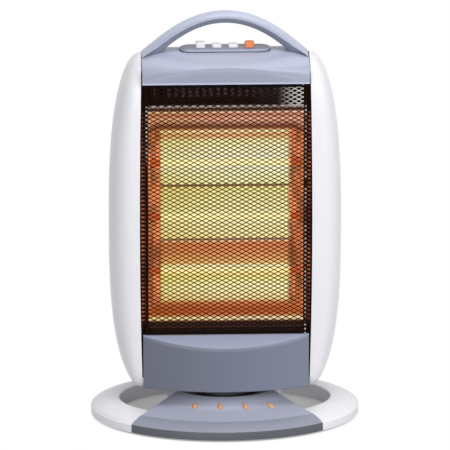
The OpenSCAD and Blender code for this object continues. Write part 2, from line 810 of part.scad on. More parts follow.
module mesh_sheet(w, h) {
    a = mesh_w / 2 - strand;
    b = mesh_h / 2 - strand / 2;
    difference() {
        square([w, h], center = true);
        for (p = diamonds(w, h)) translate(p) polygon([[a, 0], [0, b], [-a, 0], [0, -b]]);
    }
}

frame_gap = 0.4;

module grille_mesh() {
    h = window_h - 8;
    color(black) translate([0, 0, window_z + window_h / 2])
        upright(-grille_y, -grille_y + mesh_t) mesh_sheet(2 * bend_x, h);
}

module grille_frame() {
    h = window_h - 2 * frame_gap;
    low = window_z + frame_gap;
    deep = grille_y - rail_front;
    color(black) {
        for (z = [low, low + h - 4 + frame_gap]) translate([-bend_x, -grille_y, z])
            cube([2 * bend_x, deep, 4 - frame_gap]);
        both_sides() difference() {
            translate([0, 0, low]) linear_extrude(h) polygon([[bend_x, -grille_y],
                [half, -rail_front - 1], [half, -rail_front], [bend_x, -rail_front],
                [bend_x, -rail_front - 1], [half - 2, -rail_front - 1], [bend_x, -grille_y + 1.3]]);
            for (z = [low + 12:14:low + h - 12]) translate([bend_x + 4.2, -grille_y - 2, z - 3.5])
                rotate([0, 0, 34]) cube([3, 6, 7]);
        }
    }
}

// ---------- Lower compartment ----------

crank_z = floor_z + 8;
motor_z = floor_z + 13.5;

module crank() {
    color(steel) translate([0, -motor_y, 0]) {
        difference() {
            union() {
                translate([0, 0, crank_z]) cylinder(r = throw + 4.5, h = 3);
                translate([0, 0, crank_z]) cylinder(d = 12, h = 5);
            }
            translate([0, 0, crank_z - 1]) cylinder(d = 6.06, h = 8);
        }
        translate([0, -throw, floor_z + 0.6]) cylinder(r = pin_r, h = crank_z - floor_z);
    }
}

module motor_shaft() {
    color(steel) translate([0, -motor_y, crank_z]) cylinder(d = 6, h = 13);
}

module swing_motor() {
    color(steel) translate([0, -motor_y, motor_z + sheet]) difference() {
        union() {
            cylinder(d = motor_d, h = 18);
            translate([-motor_d / 2 - 6, -6, 0]) cube([motor_d + 12, 12, 1.5]);
        }
        translate([0, 0, -1]) cylinder(d = 6.2, h = 9);
    }
}

module motor_bracket() {
    w = 2 * (slot_out + 4) * sin(swing) + 2 * (slot_half + 4) * cos(swing) + 8;
    color(steel) translate([0, -motor_y, 0]) {
        difference() {
            translate([-w / 2, -14, motor_z]) cube([w, 28, sheet]);
            translate([0, 0, motor_z - 1]) cylinder(d = 14, h = 4);
        }
        both_sides() translate([w / 2 - sheet, -14, floor_z]) cube([sheet, 28, motor_z - floor_z]);
    }
}

module terminal_block() {
    color(white) translate([-half + 22, 6, floor_z]) difference() {
        cube([40, 18, 15]);
        for (i = [0:3]) translate([5 + 10 * i, 9, 8]) cylinder(d = 5, h = 8);
    }
}

module wiring_loom() {
    low = floor_z + 24;
    high = bank_top - 10;
    bank_end = 1.5 * key_pitch + 13;
    color(black) {
        translate([loom_x, loom_y, low]) cylinder(d = 6, h = high - low);
        for (z = [low, high]) translate([loom_x, loom_y, z]) sphere(d = 6.4);
        translate([loom_x, loom_y, high]) rotate([0, 0, atan((6 - loom_y) / (-bank_end - loom_x))])
            rod_x(0, norm([-bank_end - loom_x, 6 - loom_y]) - 1.8, 3);
        translate([loom_x, loom_y, low - 9]) cylinder(d = 6, h = 9);
    }
}

base_ring();
front_cover();
hub_drum();
rear_bridge();
base_plate();
pivot_post();
slotted_lever();
retaining_clip();
tip_switch();
tip_plunger();
rubber_feet();
flame_marks();
turntable();
floor_pan();
lower_panel();
side_panel_left();
side_panel_right();
top_cover();
carry_handle();
control_plate();
key_low();
key_medium();
key_high();
key_swing();
switch_bank();
rear_cover();
grille_mesh();
grille_frame();
reflector();
upper_baffle();
upper_shelf();
lower_shelf();
rail_left();
rail_right();
tube_upper();
tube_middle();
tube_lower();
filaments();
tube_caps();
tube_brackets();
thermal_cutout();
terminal_block();
wiring_loom();
swing_motor();
motor_bracket();
motor_shaft();
crank();
cord_gland();
rear_screws();
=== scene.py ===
"""A halogen room heater dressed for its portrait: moulded covers, a mesh grille and three glowing tubes."""
from math import asin, copysign, cos, pi, radians, sin, sqrt

import bmesh
import bpy
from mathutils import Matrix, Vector
from mathutils.bvhtree import BVHTree


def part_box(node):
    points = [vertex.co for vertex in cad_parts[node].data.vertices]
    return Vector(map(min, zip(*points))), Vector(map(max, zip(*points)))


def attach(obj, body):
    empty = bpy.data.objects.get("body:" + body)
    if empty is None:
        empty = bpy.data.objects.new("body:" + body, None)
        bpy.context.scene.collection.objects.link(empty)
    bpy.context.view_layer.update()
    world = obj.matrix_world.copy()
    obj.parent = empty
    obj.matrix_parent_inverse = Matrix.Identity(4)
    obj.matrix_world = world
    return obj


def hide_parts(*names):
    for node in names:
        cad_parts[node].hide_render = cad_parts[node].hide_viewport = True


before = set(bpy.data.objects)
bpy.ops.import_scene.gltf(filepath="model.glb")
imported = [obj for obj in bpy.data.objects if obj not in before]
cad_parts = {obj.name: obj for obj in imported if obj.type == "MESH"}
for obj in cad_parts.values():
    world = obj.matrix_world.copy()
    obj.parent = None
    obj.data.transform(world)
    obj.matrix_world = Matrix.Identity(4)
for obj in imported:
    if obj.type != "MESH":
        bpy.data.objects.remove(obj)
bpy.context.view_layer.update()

bl_info = {
    "name": "Halogen Room Heater",
    "version": (1, 0, 0),
    "blender": (4, 5, 0),
    "location": "View3D > Sidebar > Heater",
    "description": "Dresses the frame of a three-tube halogen heater",
    "category": "Object",
}

MM = 0.001
PICTURE = 450                         # Width and height of the picture, in picture points


def box(node):
    """Lowest and highest corner of a frame node, in metres."""
    low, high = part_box(node)
    return Vector(low), Vector(high)


# ---- Sizes taken from the frame

RING = box("base_ring")
HUB = box("hub_drum")
TOP = box("top_cover")
LOW = box("lower_panel")
PANEL = box("side_panel_right")
HANDLE = box("carry_handle")
PLATE = box("control_plate")
KEYS = {name: box("key_" + name) for name in ("low", "medium", "high", "swing")}
MESH = box("grille_mesh")
GRILLE = box("grille_frame")
REFLECT = box("reflector")
BAFFLE = box("upper_baffle")
BACK = box("rear_cover")

half_w, half_d = RING[1].x, RING[1].y             # Half of the base's width and depth
foot_h, hub_h = RING[0].z, HUB[1].z
hub_a, hub_b = HUB[1].x, HUB[1].y
half = TOP[1].x                                   # Half of the covers' width
body_z, window_z = LOW[0].z, LOW[1].z
window_top, body_top = TOP[0].z, TOP[1].z
grille_y, crown_y, rear_y = -MESH[0].y, -TOP[0].y, BACK[1].y
crown_sag = crown_y - grille_y - 0.5 * MM         # How far the covers bow ahead of their ends
front_r = (half ** 2 + crown_sag ** 2) / (2 * crown_sag)
handle_top = HANDLE[1].z
# The stays are black strips behind the bends: they stand for the bends' denser rows of knuckles and paint the shade
# along them
BEND_X = MESH[1].x + 3.2 * MM                     # Middle of the stays behind the bends of the mesh
HEATED = 82 * MM                                  # Half the length of a tube that glows
BRIGHT_END = 79 * MM, 85 * MM                     # Where the reflector passes into its sloping end walls


# ---- Settings

def length(name, about, value):
    return bpy.props.FloatProperty(name=name, description=about, default=value, unit="LENGTH")


def colour(name, about, value):
    return bpy.props.FloatVectorProperty(name=name, description=about, default=value, subtype="COLOR", size=3,
                                         min=0, max=1)


def degrees(name, about, value):
    return bpy.props.FloatProperty(name=name, description=about, default=radians(value), subtype="ANGLE")


def picture_point(name, about, value):
    return bpy.props.FloatProperty(name=name, description=about, default=value, subtype="PIXEL")


class HeaterSizes(bpy.types.PropertyGroup):
    """Sizes that only show in the dressed model."""
    ring_side: length("Ring side", "Width of the base ring at its sides", 37 * MM)
    ring_end: length("Ring end", "Width of the base ring at its front and back", 40 * MM)
    wall: length("Wall", "Wall of the plastic covers", 2.5 * MM)
    mesh_w: length("Mesh width", "Width of one opening of the grille", 10.2 * MM)
    mesh_h: length("Mesh height", "Height of one opening of the grille", 5.5 * MM)
    strand: length("Strand", "Width of a strand of the grille", 1.25 * MM)


class HeaterColours(bpy.types.PropertyGroup):
    """Colours of the heater's finishes, in linear light."""
    white: colour("White", "Side panels, ring and keys", (0.83, 0.82, 0.86))
    grey: colour("Grey", "Top cover, handle and control plate", (0.42, 0.45, 0.57))
    base_grey: colour("Base grey", "Cover on the front of the base", (0.43, 0.455, 0.565))
    dark_grey: colour("Dark grey", "Lower panel", (0.185, 0.20, 0.275))
    orange: colour("Orange", "Swing key", (0.86, 0.24, 0.07))
    flame: colour("Flame", "Flame marks on the base", (0.80, 0.24, 0.07))
    # Painted glow: the tubes' light on the ends of the reflector, on the grille and the rails, and on the tube ends
    # and their fittings
    ember: colour("Ember", "Ends of the reflector, away from the tubes", (0.90, 0.25, 0.09))


class HeaterStage(bpy.types.PropertyGroup):
    """Where the camera stands."""
    azimuth: degrees("Azimuth", "Camera's turn from straight ahead", -2.0)
    elevation: degrees("Elevation", "Camera's height above the horizon", 16.87)
    distance: length("Distance", "Camera's distance from the heater's middle", 8.0)
    scale: length("Scale", "Size of one picture point at the heater's middle", 1.282 * MM)
    middle_x: picture_point("Middle across", "Picture column of the heater's middle", 224.84)
    middle_y: picture_point("Middle down", "Picture row of the heater's middle", 212.5)


def sizes():
    """The sizes as the sidebar has them."""
    return bpy.context.scene.heater_sizes


# ---- Shader maths

def maths(operation, turned=False):
    """A method that adds a Math node. Turned, it takes its two values the other way round."""
    def method(self, *others):
        values = (*others, self) if turned else (self, *others)
        return self.nodes.add("ShaderNodeMath", {"operation": operation}, dict(enumerate(values)))
    return method


class Val:
    """A shader socket. Python's arithmetic on it adds Math nodes."""

    def __init__(self, nodes, socket):
        self.nodes, self.socket = nodes, socket

    __add__ = __radd__ = maths("ADD")
    __mul__ = __rmul__ = maths("MULTIPLY")
    __sub__, __rsub__ = maths("SUBTRACT"), maths("SUBTRACT", turned=True)
    __truediv__ = maths("DIVIDE")
    __pow__ = maths("POWER")
    __abs__ = maths("ABSOLUTE")
    most = maths("MAXIMUM")
    sine = maths("SINE")

    def waves(self, period):
        """A wave from -1 to 1 that comes round after each period."""
        return (self * (2 * pi / period)).sine()

    def ramp(self, low, high):
        """0 below low, 1 above high, and smooth between."""
        return self.nodes.add("ShaderNodeMapRange", {"interpolation_type": "SMOOTHSTEP"},
                              {"Value": self, "From Min": low, "From Max": high})

    def fall(self, low, high):
        """1 below low, 0 above high, and smooth between."""
        return 1 - self.ramp(low, high)

    def band(self, low, high):
        """1 between low and high, each given as the start and the end of its slope."""
        return self.ramp(*low) * self.fall(*high)


class Nodes:
    """The nodes of a new material or world."""

    def __init__(self, name, kind="materials"):
        self.owner = getattr(bpy.data, kind).new(name)
        self.owner.use_nodes = True
        self.tree = self.owner.node_tree
        self.tree.nodes.clear()
        self.place = None

    def add(self, kind, settings=None, inputs=None, out=0):
        """Adds a node: first its settings, a ramp's stops among them, then the values or links of its sockets."""
        node = self.tree.nodes.new(kind)
        for key, value in (settings or {}).items():
            if key == "stops":
                self.fill(node.color_ramp.elements, value)
            else:
                setattr(node, key, value)
        for key, value in (inputs or {}).items():
            self.join(node.inputs[key], value)
        return Val(self, node.outputs[out]) if node.outputs else None

    def fill(self, elements, stops):
        """Gives a colour ramp its stops, as (place, colour)."""
        while len(elements) < len(stops):
            elements.new(0.5)
        for element, (place, rgb) in zip(elements, stops):
            element.position = place
            element.color = (*rgb, 1)

    def join(self, socket, value):
        """Links a socket or gives it a value. A colour of three numbers is opaque."""
        if isinstance(value, Val):
            self.tree.links.new(value.socket, socket)
        elif hasattr(value, "__len__") and len(value) < len(socket.default_value):
            socket.default_value = (*value, 1)
        else:
            socket.default_value = value

    def where(self):
        """The point's place on the object, in metres."""
        if self.place is None:
            self.place = self.add("ShaderNodeTexCoord", out="Object")
        return self.place

    def axis(self, letter):
        return self.add("ShaderNodeSeparateXYZ", inputs={0: self.where()}, out=letter.upper())

    def facing(self, letter):
        """How far the surface faces along an axis of the object."""
        normal = self.add("ShaderNodeTexCoord", out="Normal")
        return self.add("ShaderNodeSeparateXYZ", inputs={0: normal}, out=letter.upper())

    def outward(self):
        """0 in the middle of the base and 1 at its oval rim."""
        x, y = self.axis("x"), self.axis("y")
        return ((x * x) / (half_w * half_w) + (y * y) / (half_d * half_d)) ** 0.5

    def noise(self, scale, detail=2.0, stretch=(1, 1, 1)):
        place = self.add("ShaderNodeVectorMath", {"operation": "MULTIPLY"}, {0: self.where(), 1: stretch})
        return self.add("ShaderNodeTexNoise", inputs={"Vector": place, "Scale": scale, "Detail": detail}, out="Fac")

    def mix(self, amount, first, second, blend="MIX"):
        return self.add("ShaderNodeMix", {"data_type": "RGBA", "blend_type": blend},
                        {0: amount, 6: first, 7: second}, out=2)

    def tint(self, first, second):
        """One colour seen through another."""
        return self.mix(1.0, first, second, "MULTIPLY")

    def bump(self, height, depth, strength=1.0):
        return self.add("ShaderNodeBump", inputs={"Height": height, "Distance": depth, "Strength": strength})

    def backdrop_ray(self):
        """1 for the rays that show what stands behind: from the camera, off metal and through glass."""
        camera, glossy, through = (self.add("ShaderNodeLightPath", out="Is %s Ray" % kind)
                                   for kind in ("Camera", "Glossy", "Transmission"))
        return camera.most(glossy).most(through)

    def principled(self, **sockets):
        """A Principled shader. In the names of its sockets, _ stands for a blank."""
        return self.add("ShaderNodeBsdfPrincipled", inputs={k.replace("_", " "): v for k, v in sockets.items()})

    def end(self, shader, kind="Material"):
        """Puts a shader on the surface, and hands over the finished material or world."""
        self.add("ShaderNodeOutput" + kind, inputs={"Surface": shader})
        return self.owner

    def surface(self, light=None, **sockets):
        """Ends a material with a Principled shader, which shines by itself when it is given a light."""
        if light:
            sockets.update(Emission_Color=light, Emission_Strength=1.0)
        return self.end(self.principled(**sockets))


def shade(rgb, factor):
    """A lighter or darker colour."""
    return tuple(min(1, c * factor) for c in rgb)


# ---- Finishes

def plastic(name, rgb, rough=0.32, grain=0.03, clouds=0.05, ledge=None, lean=0.0, chin=1.0, hub=1.0):
    """Moulded plastic: a fine even grain, faint cloudiness and soft changes of gloss. The rest is painted light:
    faces that look up are lighter by ledge, those that look down by chin, and the part near the hub, where
    the body's shade falls, by hub. The right side, on the side of the main lamp, is lighter than the left one by
    lean."""
    n = Nodes(name)
    cloud, fine = n.noise(9, 3), n.noise(1400, 2)
    tone = n.mix(cloud, shade(rgb, 1 - clouds), shade(rgb, 1 + clouds / 2))
    # Painted light: lighter towards the right, on the side of the main lamp
    if lean:
        across = (n.axis("x") / half * 0.5 + 0.5).ramp(0.0, 1.0)
        tone = n.tint(tone, n.mix(across, shade((1, 1, 1), 1 - lean), (1, 1, 1)))
    # Painted light on faces that look up
    if ledge:
        lighter, low, high = ledge
        tone = n.mix(n.facing("z").ramp(low, high), tone, shade(rgb, lighter))
    # Painted light on faces that look down
    if chin != 1.0:
        tone = n.mix((n.facing("z") * -1).ramp(0.1, 0.7), tone, shade(rgb, chin))
    # Painted light near the hub, where the body's shade falls
    if hub != 1.0:
        tone = n.mix(n.outward().ramp(0.42, 0.66), shade(rgb, hub), tone)
    return n.surface(Base_Color=tone, Roughness=rough + (cloud - 0.5) * 0.08 + (fine - 0.5) * 0.08,
                     Normal=n.bump(fine, grain * MM, 0.35))


def flame_plastic(name, rgb):
    """Orange inlay, with painted light on its crown and painted shade round its edge."""
    n = Nodes(name)
    crown, fine = n.facing("z").ramp(0.72, 0.99), n.noise(1200, 2)
    pale = n.mix(fine, (1.0, 0.55, 0.30), (1.0, 0.62, 0.36))
    return n.surface(Base_Color=n.mix(crown, shade(rgb, 0.55), pale), Roughness=0.25 + fine * 0.1,
                     Normal=n.bump(fine, 0.02 * MM, 0.3))


def painted(name, rgb, rough=0.45, gloss=0.5):
    """Heat-resistant paint on steel: slightly uneven gloss and a fine orange peel."""
    n = Nodes(name)
    peel, patch = n.noise(700, 2), n.noise(30, 3)
    return n.surface(Base_Color=n.mix(patch, shade(rgb, 0.7), shade(rgb, 1.3)), Specular_IOR_Level=gloss,
                     Roughness=rough + (patch - 0.5) * 0.2, Normal=n.bump(peel, 0.04 * MM, 0.4))


def zinc(name, rgb=(0.55, 0.55, 0.57)):
    """Zinc-plated steel: fine brushing and mottled gloss."""
    n = Nodes(name)
    streak, patch = n.noise(120, 4, (1, 12, 12)), n.noise(60, 3)
    return n.surface(Base_Color=n.mix(patch, shade(rgb, 0.8), rgb), Metallic=0.9, Roughness=0.28 + streak * 0.2,
                     Normal=n.bump(streak, 0.02 * MM, 0.5))


def rubber(name):
    """Matt moulded rubber with a coarse bloom."""
    n = Nodes(name)
    speck = n.noise(900, 3)
    return n.surface(Base_Color=n.mix(speck, (0.02, 0.02, 0.02), (0.045, 0.045, 0.045)),
                     Roughness=0.75 + speck * 0.1, Normal=n.bump(speck, 0.08 * MM))


def fitting(name, rgb, ember, metal):
    """Speckled caps and scorched brackets at the ends of the tubes, with the glow that they catch painted into their
    emission.
    """
    n = Nodes(name)
    speck = n.noise(500, 3)
    return n.surface(Base_Color=n.mix(speck, shade(rgb, 0.6), rgb), Roughness=0.4 + speck * 0.2, Metallic=metal,
                     Specular_IOR_Level=0.2, Normal=n.bump(speck, 0.05 * MM),
                     light=n.mix(speck, shade(ember, 0.2), shade(ember, 0.45)))


def baffle_steel(name):
    """Sheet above the reflector: dark brown and mottled, with a band of painted reflection on its right, where it
    mirrors the lamps.
    """
    n = Nodes(name)
    stain = n.noise(40, 4)
    # Painted reflection: a band of pale bare metal on the right
    cool = (n.axis("x") + (stain - 0.5) * (16 * MM)).band((22 * MM, 60 * MM), (72 * MM, 82 * MM))
    soot = n.mix(stain, (0.008, 0.003, 0.003), (0.030, 0.010, 0.009))
    return n.surface(Base_Color=n.mix(cool, soot, (0.035, 0.029, 0.029)), Roughness=0.5 + stain * 0.15,
                     Metallic=0.3, Specular_IOR_Level=0.1)


# Painted light on the reflector by height in millimetres above its lower flange. The fold at SEAM parts the two ramps
LOWER_GLOW = [
    # Flange and the hot edge above it
    (0.0, 0.05, 0.03, 0.025), (1.4, 0.03, 0.015, 0.012), (2.4, 0.004, 0.001, 0.001),
    (7.5, 0.008, 0.001, 0.001), (8.8, 0.16, 0.02, 0.008), (10.0, 0.95, 0.70, 0.36),
    (11.6, 1.0, 0.88, 0.56), (13.4, 0.72, 0.30, 0.11),
    # Lower sloping wall, then the lower tube
    (16.0, 0.55, 0.12, 0.035), (20.0, 0.47, 0.08, 0.022), (28.0, 0.68, 0.22, 0.07),
    (30.4, 0.93, 0.74, 0.34), (43.0, 0.98, 0.93, 0.50), (54.0, 0.93, 0.86, 0.34),
    (61.7, 0.90, 0.72, 0.24), (66.4, 0.90, 0.72, 0.26), (68.2, 1.0, 0.97, 0.66),
    (72.0, 1.0, 0.97, 0.66), (74.5, 0.90, 0.60, 0.22),
    # Orange trough between two tubes
    (80.0, 0.82, 0.42, 0.15), (90.0, 0.74, 0.28, 0.11), (103.0, 0.70, 0.22, 0.08),
    (105.6, 0.82, 0.38, 0.16), (106.8, 0.98, 0.78, 0.46), (108.2, 0.16, 0.04, 0.012),
    (109.4, 0.16, 0.04, 0.012),
    # Middle tube
    (110.8, 0.95, 0.80, 0.38), (139.0, 0.95, 0.92, 0.52), (141.4, 1.0, 0.98, 0.80),
    (144.0, 0.92, 0.88, 0.46), (179.3, 0.84, 0.76, 0.30), (180.4, 0.12, 0.012, 0.008)]
UPPER_GLOW = [
    # Upper tube
    (182.0, 0.12, 0.012, 0.008), (183.2, 0.92, 0.89, 0.44), (212.0, 0.97, 0.97, 0.70),
    (240.0, 0.92, 0.86, 0.44), (243.0, 0.88, 0.62, 0.30), (248.8, 0.76, 0.36, 0.16),
    (251.6, 0.94, 0.66, 0.34), (253.9, 1.0, 0.88, 0.50), (256.5, 0.55, 0.20, 0.09),
    # Upper sloping wall and flange
    (259.5, 0.16, 0.035, 0.015), (263.0, 0.19, 0.05, 0.025), (268.0, 0.50, 0.22, 0.14),
    (275.0, 0.84, 0.40, 0.27), (281.0, 0.50, 0.19, 0.11), (284.6, 0.60, 0.26, 0.17),
    (286.4, 0.98, 0.70, 0.52), (289.0, 0.02, 0.005, 0.003)]
SEAM = 181.2


def glow_light(n, up):
    """The light on the reflector at a height, given as a share of the whole."""
    tall = (REFLECT[1].z - REFLECT[0].z) / MM
    low, high = (n.add("ShaderNodeValToRGB", {"stops": [(height / tall, rgb) for height, *rgb in bands]}, {0: up})
                 for bands in (LOWER_GLOW, UPPER_GLOW))
    return n.mix(up.ramp(SEAM / tall - 0.0005, SEAM / tall + 0.0005), low, high)


def glowing_metal(name, ember):
    """Polished sheet whose hollow side has the tubes' reflected light painted into its emission, and is bare steel
    behind.
    """
    n = Nodes(name)
    x, z = n.axis("x"), n.axis("z")
    wave, speck = n.noise(45, 4, (1, 1, 3.0)), n.noise(380, 3, (1, 1, 1.6))
    # Dents in the sheet shift the bands a little
    up = (z - REFLECT[0].z) / (REFLECT[1].z - REFLECT[0].z) + (wave - 0.5) * 0.004
    bright = glow_light(n, up)
    # Whiter right of the middle, and yellower towards the left
    warm = (x + 8 * MM + (wave - 0.5) * (60 * MM)).ramp(-80 * MM, 30 * MM)
    bright = n.mix(warm, n.tint(bright, (0.90, 0.88, 0.66)), bright)
    glint = speck.ramp(0.62, 0.78) * 0.4
    bright = n.mix(glint * up.ramp(0.06, 0.1), bright, (1.0, 0.97, 0.80))
    dull = (0.42 - speck).ramp(0.0, 0.16) * 0.35
    bright = n.mix(dull, bright, n.tint(bright, (0.62, 0.45, 0.22)))
    # The sloping walls at both ends only see the tubes from the side, and are palest above the lower tube
    aside = abs(x + (wave - 0.5) * (6 * MM)).ramp(*BRIGHT_END)
    blotch = n.noise(48, 5, (1.6, 1, 0.6)).ramp(0.36, 0.66)
    wall = n.mix(blotch * (abs(up - 0.31).ramp(0.0, 0.09) * 0.6 + 0.4), shade(ember, 0.30), ember)
    wall = n.mix(n.noise(260, 3, (1, 1, 1.6)).ramp(0.62, 0.74) * 0.6, wall, (1.0, 0.62, 0.38))
    wall = n.mix(up.band((0.028, 0.05), (0.965, 0.985)), (0.02, 0.005, 0.003), wall)
    light = n.mix(aside * up.band((0.06, 0.10), (0.872, 0.885)), bright, wall)
    light = n.mix(abs(x).ramp(98.6 * MM, 99.6 * MM), light, (0.025, 0.006, 0.004))
    hollow = (n.facing("y") * -1).ramp(0, 0.1)
    steel = n.mix(wave, (0.016, 0.006, 0.004), (0.03, 0.012, 0.007))
    return n.surface(Base_Color=n.mix(hollow, (0.45, 0.45, 0.46), steel), Metallic=0.5, Roughness=0.35 + wave * 0.2,
                     Normal=n.bump(wave, 0.6 * MM, 0.5), light=n.mix(hollow, (0, 0, 0), light))


def grille_paint(name, ember):
    """Black stove paint on the mesh, with a little of the light behind it painted into its emission, painted glints
    of bright steel where its sides are bent, and a painted sheen of bright steel in its upper right corner."""
    n = Nodes(name)
    x, z, patch = n.axis("x"), n.axis("z"), n.noise(30, 3)
    above = (z - REFLECT[1].z).ramp(3 * MM, 6 * MM)
    # Painted glints on the knuckles along the bends of the mesh
    bend = abs(abs(x) - BEND_X).fall(0.7 * MM, 1.4 * MM) * z.waves(sizes().mesh_h).ramp(0.1, 0.6)
    lit_side = x.ramp(-20 * MM, 20 * MM).most(z.ramp(345 * MM, 360 * MM))
    worn = bend * n.noise(60, 3).ramp(0.34, 0.58) * lit_side * (1 - above) * 0.6
    # Painted sheen on the strands in the upper right corner
    corner = above * x.band((64 * MM, 90 * MM), (98 * MM, 98.6 * MM)) * n.noise(90, 3).ramp(0.20, 0.45) * 0.7
    black = n.mix(patch, (0.008, 0.0025, 0.001), (0.016, 0.005, 0.002))
    # Painted light: each strand's emission takes the glow of the reflector behind it
    # The camera looks down, so a strand hides a part of the reflector that lies lower
    behind = (z - REFLECT[0].z - 15.5 * MM) / (REFLECT[1].z - REFLECT[0].z)
    beside = abs(x).ramp(*BRIGHT_END) * behind.band((0.05, 0.08), (0.86, 0.90))
    light = n.mix(beside, glow_light(n, behind), shade(ember, 0.5))
    light = n.mix((1 - above) * abs(x).fall(97 * MM, 99 * MM), (0, 0, 0), light)
    return n.surface(Base_Color=n.mix(worn.most(corner), black, (0.80, 0.75, 0.72)), Specular_IOR_Level=0.02,
                     Roughness=0.55 + (patch - 0.5) * 0.2, light=n.tint(light, (0.085, 0.042, 0.0)))


def lit_rail(name, ember):
    """Black powder coat, with painted dots of the glow on its face beside the reflector and a faint painted glow
    elsewhere.
    """
    n = Nodes(name)
    x, y, z, patch = n.axis("x"), n.axis("y"), n.axis("z"), n.noise(40, 4, (1, 1, 0.6))
    low, high = REFLECT[0].z, REFLECT[1].z
    beside = y.fall(-grille_y, 0) * abs(x).fall(107.5 * MM, 108.2 * MM) * z.band(
        (low + 6 * MM, low + 12 * MM), (high - 8 * MM, high - 2 * MM))
    dots = z.waves(sizes().mesh_h).ramp(-0.3, 0.7) * (n.facing("y") * -1).ramp(0.4, 0.6)
    glow = n.mix(patch.ramp(0.35, 0.65), shade(ember, 0.12), shade(ember, 0.5))
    return n.surface(Base_Color=n.mix(patch, (0.004, 0.003, 0.003), (0.007, 0.005, 0.005)),
                     Roughness=0.55 + patch * 0.1, Specular_IOR_Level=0.03,
                     light=n.mix(beside * dots, (0.008, 0.002, 0.001), glow))


def hot_wire(name):
    """Wound tungsten, white hot along the turns and duller between them."""
    n = Nodes(name)
    x = n.axis("x")
    turns = n.mix(x.waves(1.6 * MM).ramp(-0.6, 0.6), (1.0, 0.84, 0.40), (1.0, 0.97, 0.66))
    hot = abs(x).fall(HEATED, HEATED + 2 * MM)
    return n.surface(Base_Color=(0.3, 0.15, 0.05), Emission_Color=n.mix(hot, (0.05, 0.01, 0.0), turns),
                     Emission_Strength=0.9, Roughness=0.5)


def quartz(name, ember):
    """Clear tube full of the filament's light, with a faint haze."""
    n = Nodes(name)
    haze, hot = n.noise(80, 3, (0.3, 1, 1)), abs(n.axis("x")).fall(HEATED, HEATED + 2 * MM)
    light = n.mix(haze, (0.077, 0.071, 0.028), (0.099, 0.094, 0.050))
    clear = n.mix(haze, (1.0, 0.95, 0.80), (1.0, 0.98, 0.90))
    # Past the hot length, the tube's ends have a darker orange base and a painted glow
    return n.surface(Base_Color=n.mix(hot, (0.30, 0.08, 0.03), clear), Roughness=0.05 + haze * 0.08,
                     Transmission_Weight=0.95, IOR=1.08, Specular_IOR_Level=0.2,
                     light=n.mix(hot, shade(ember, 0.35), light))


def pale_floor():
    """A pale floor: it shades off under the base, and the picture shows it white away from there."""
    n = Nodes("pale_floor")
    grain = n.mix(n.noise(60, 3), (0.44, 0.44, 0.45), (0.50, 0.50, 0.51))
    white = n.add("ShaderNodeEmission", inputs={"Color": (1, 1, 1)})
    amount = n.backdrop_ray() * (n.outward().ramp(0.95, 1.01) * 0.76 + 0.24)
    return n.end(n.add("ShaderNodeMixShader", inputs={
        0: amount, 1: n.principled(Base_Color=grain, Roughness=0.9), 2: white}))


FINISHES = {}


def make_finishes():
    """Makes the finishes that the pieces share, in the colours of the sidebar."""
    c = bpy.context.scene.heater_colours
    white, grey, base, dark, ember = (tuple(v) for v in (c.white, c.grey, c.base_grey, c.dark_grey, c.ember))
    FINISHES.update(
        white=plastic("moulded_white", white, 0.30, 0.02, 0.015),
        # Painted light on the top cover's faces that look up and on those that look down
        grey=plastic("moulded_grey", shade(grey, 0.91), 0.36, 0.03, 0.04, ledge=(1.24, 0.60, 0.98), chin=1.48),
        # Painted highlight on the top cover's lip
        trim=plastic("trim_grey", shade(grey, 1.35), 0.30, 0.02, 0.04),
        # Painted light on the handle's faces that look up, and painted shade on its facets below
        grip=plastic("grip_grey", shade(grey, 0.85), 0.34, 0.03, 0.04, ledge=(1.50, 0.50, 0.92)),
        underside=plastic("shaded_grey", shade(grey, 0.58), 0.42, 0.03, 0.06),
        # Painted shade on the control plate's top, and painted light on its rounded edge
        plate=plastic("plate_grey", shade(grey, 0.55), 0.40),
        plate_edge=plastic("plate_edge_grey", shade(grey, 0.85), 0.36),
        # Painted light on the base cover near the hub, where the body's shade falls
        base_grey=plastic("base_grey", base, 0.38, hub=1.77),
        # Painted shade on the bevel and the rim, and a painted highlight on the crease
        bevel_grey=plastic("bevel_grey", shade(base, 0.66), 0.38),
        worn_edge=plastic("polished_edge_grey", shade(base, 0.95), 0.30, 0.02, 0.04),
        rim_grey=plastic("rim_grey", shade(base, 0.205), 0.42, 0.03, 0.06),
        # Painted light on the lower panel's ledge and towards its right side
        dark_grey=plastic("moulded_dark_grey", dark, 0.38, ledge=(1.72, 0.60, 0.88), lean=0.28),
        orange=plastic("moulded_orange", tuple(c.orange), 0.30, 0.03, 0.06),
        flame=flame_plastic("flame_inlay", tuple(c.flame)),
        black=plastic("moulded_black", (0.018, 0.018, 0.02), 0.45, 0.06, 0.2),
        cream=plastic("moulded_cream", (0.62, 0.55, 0.40), 0.5, 0.06, 0.1),
        mesh=grille_paint("grille_paint", ember),
        hem=painted("hem_paint", (0.004, 0.003, 0.003), 0.7, 0.04),
        steel_black=painted("black_powder_coat", (0.012, 0.011, 0.012), 0.6, 0.25),
        lit_rail=lit_rail("rail_powder_coat", ember),
        baffle=baffle_steel("stained_baffle"),
        zinc=zinc("zinc_plate"),
        lip=zinc("lip_steel", (0.50, 0.45, 0.43)),
        ceramic=fitting("glazed_ceramic", (0.14, 0.09, 0.06), ember, 0),
        bracket=fitting("scorched_steel", (0.12, 0.05, 0.03), ember, 0.5),
        rubber=rubber("foot_rubber"),
        glow=glowing_metal("glowing_reflector", ember),
        wire=hot_wire("hot_tungsten"),
        quartz=quartz("quartz", ember))


# ---- Shapes

def mix(a, b, t):
    """The value a share t of the way from a to b."""
    return a + (b - a) * t


def spread(low, high, count):
    """Even steps from low to high, both included."""
    return [mix(low, high, i / count) for i in range(count + 1)]


def power(value, exponent):
    """A power that keeps the sign."""
    return copysign(abs(value) ** exponent, value)


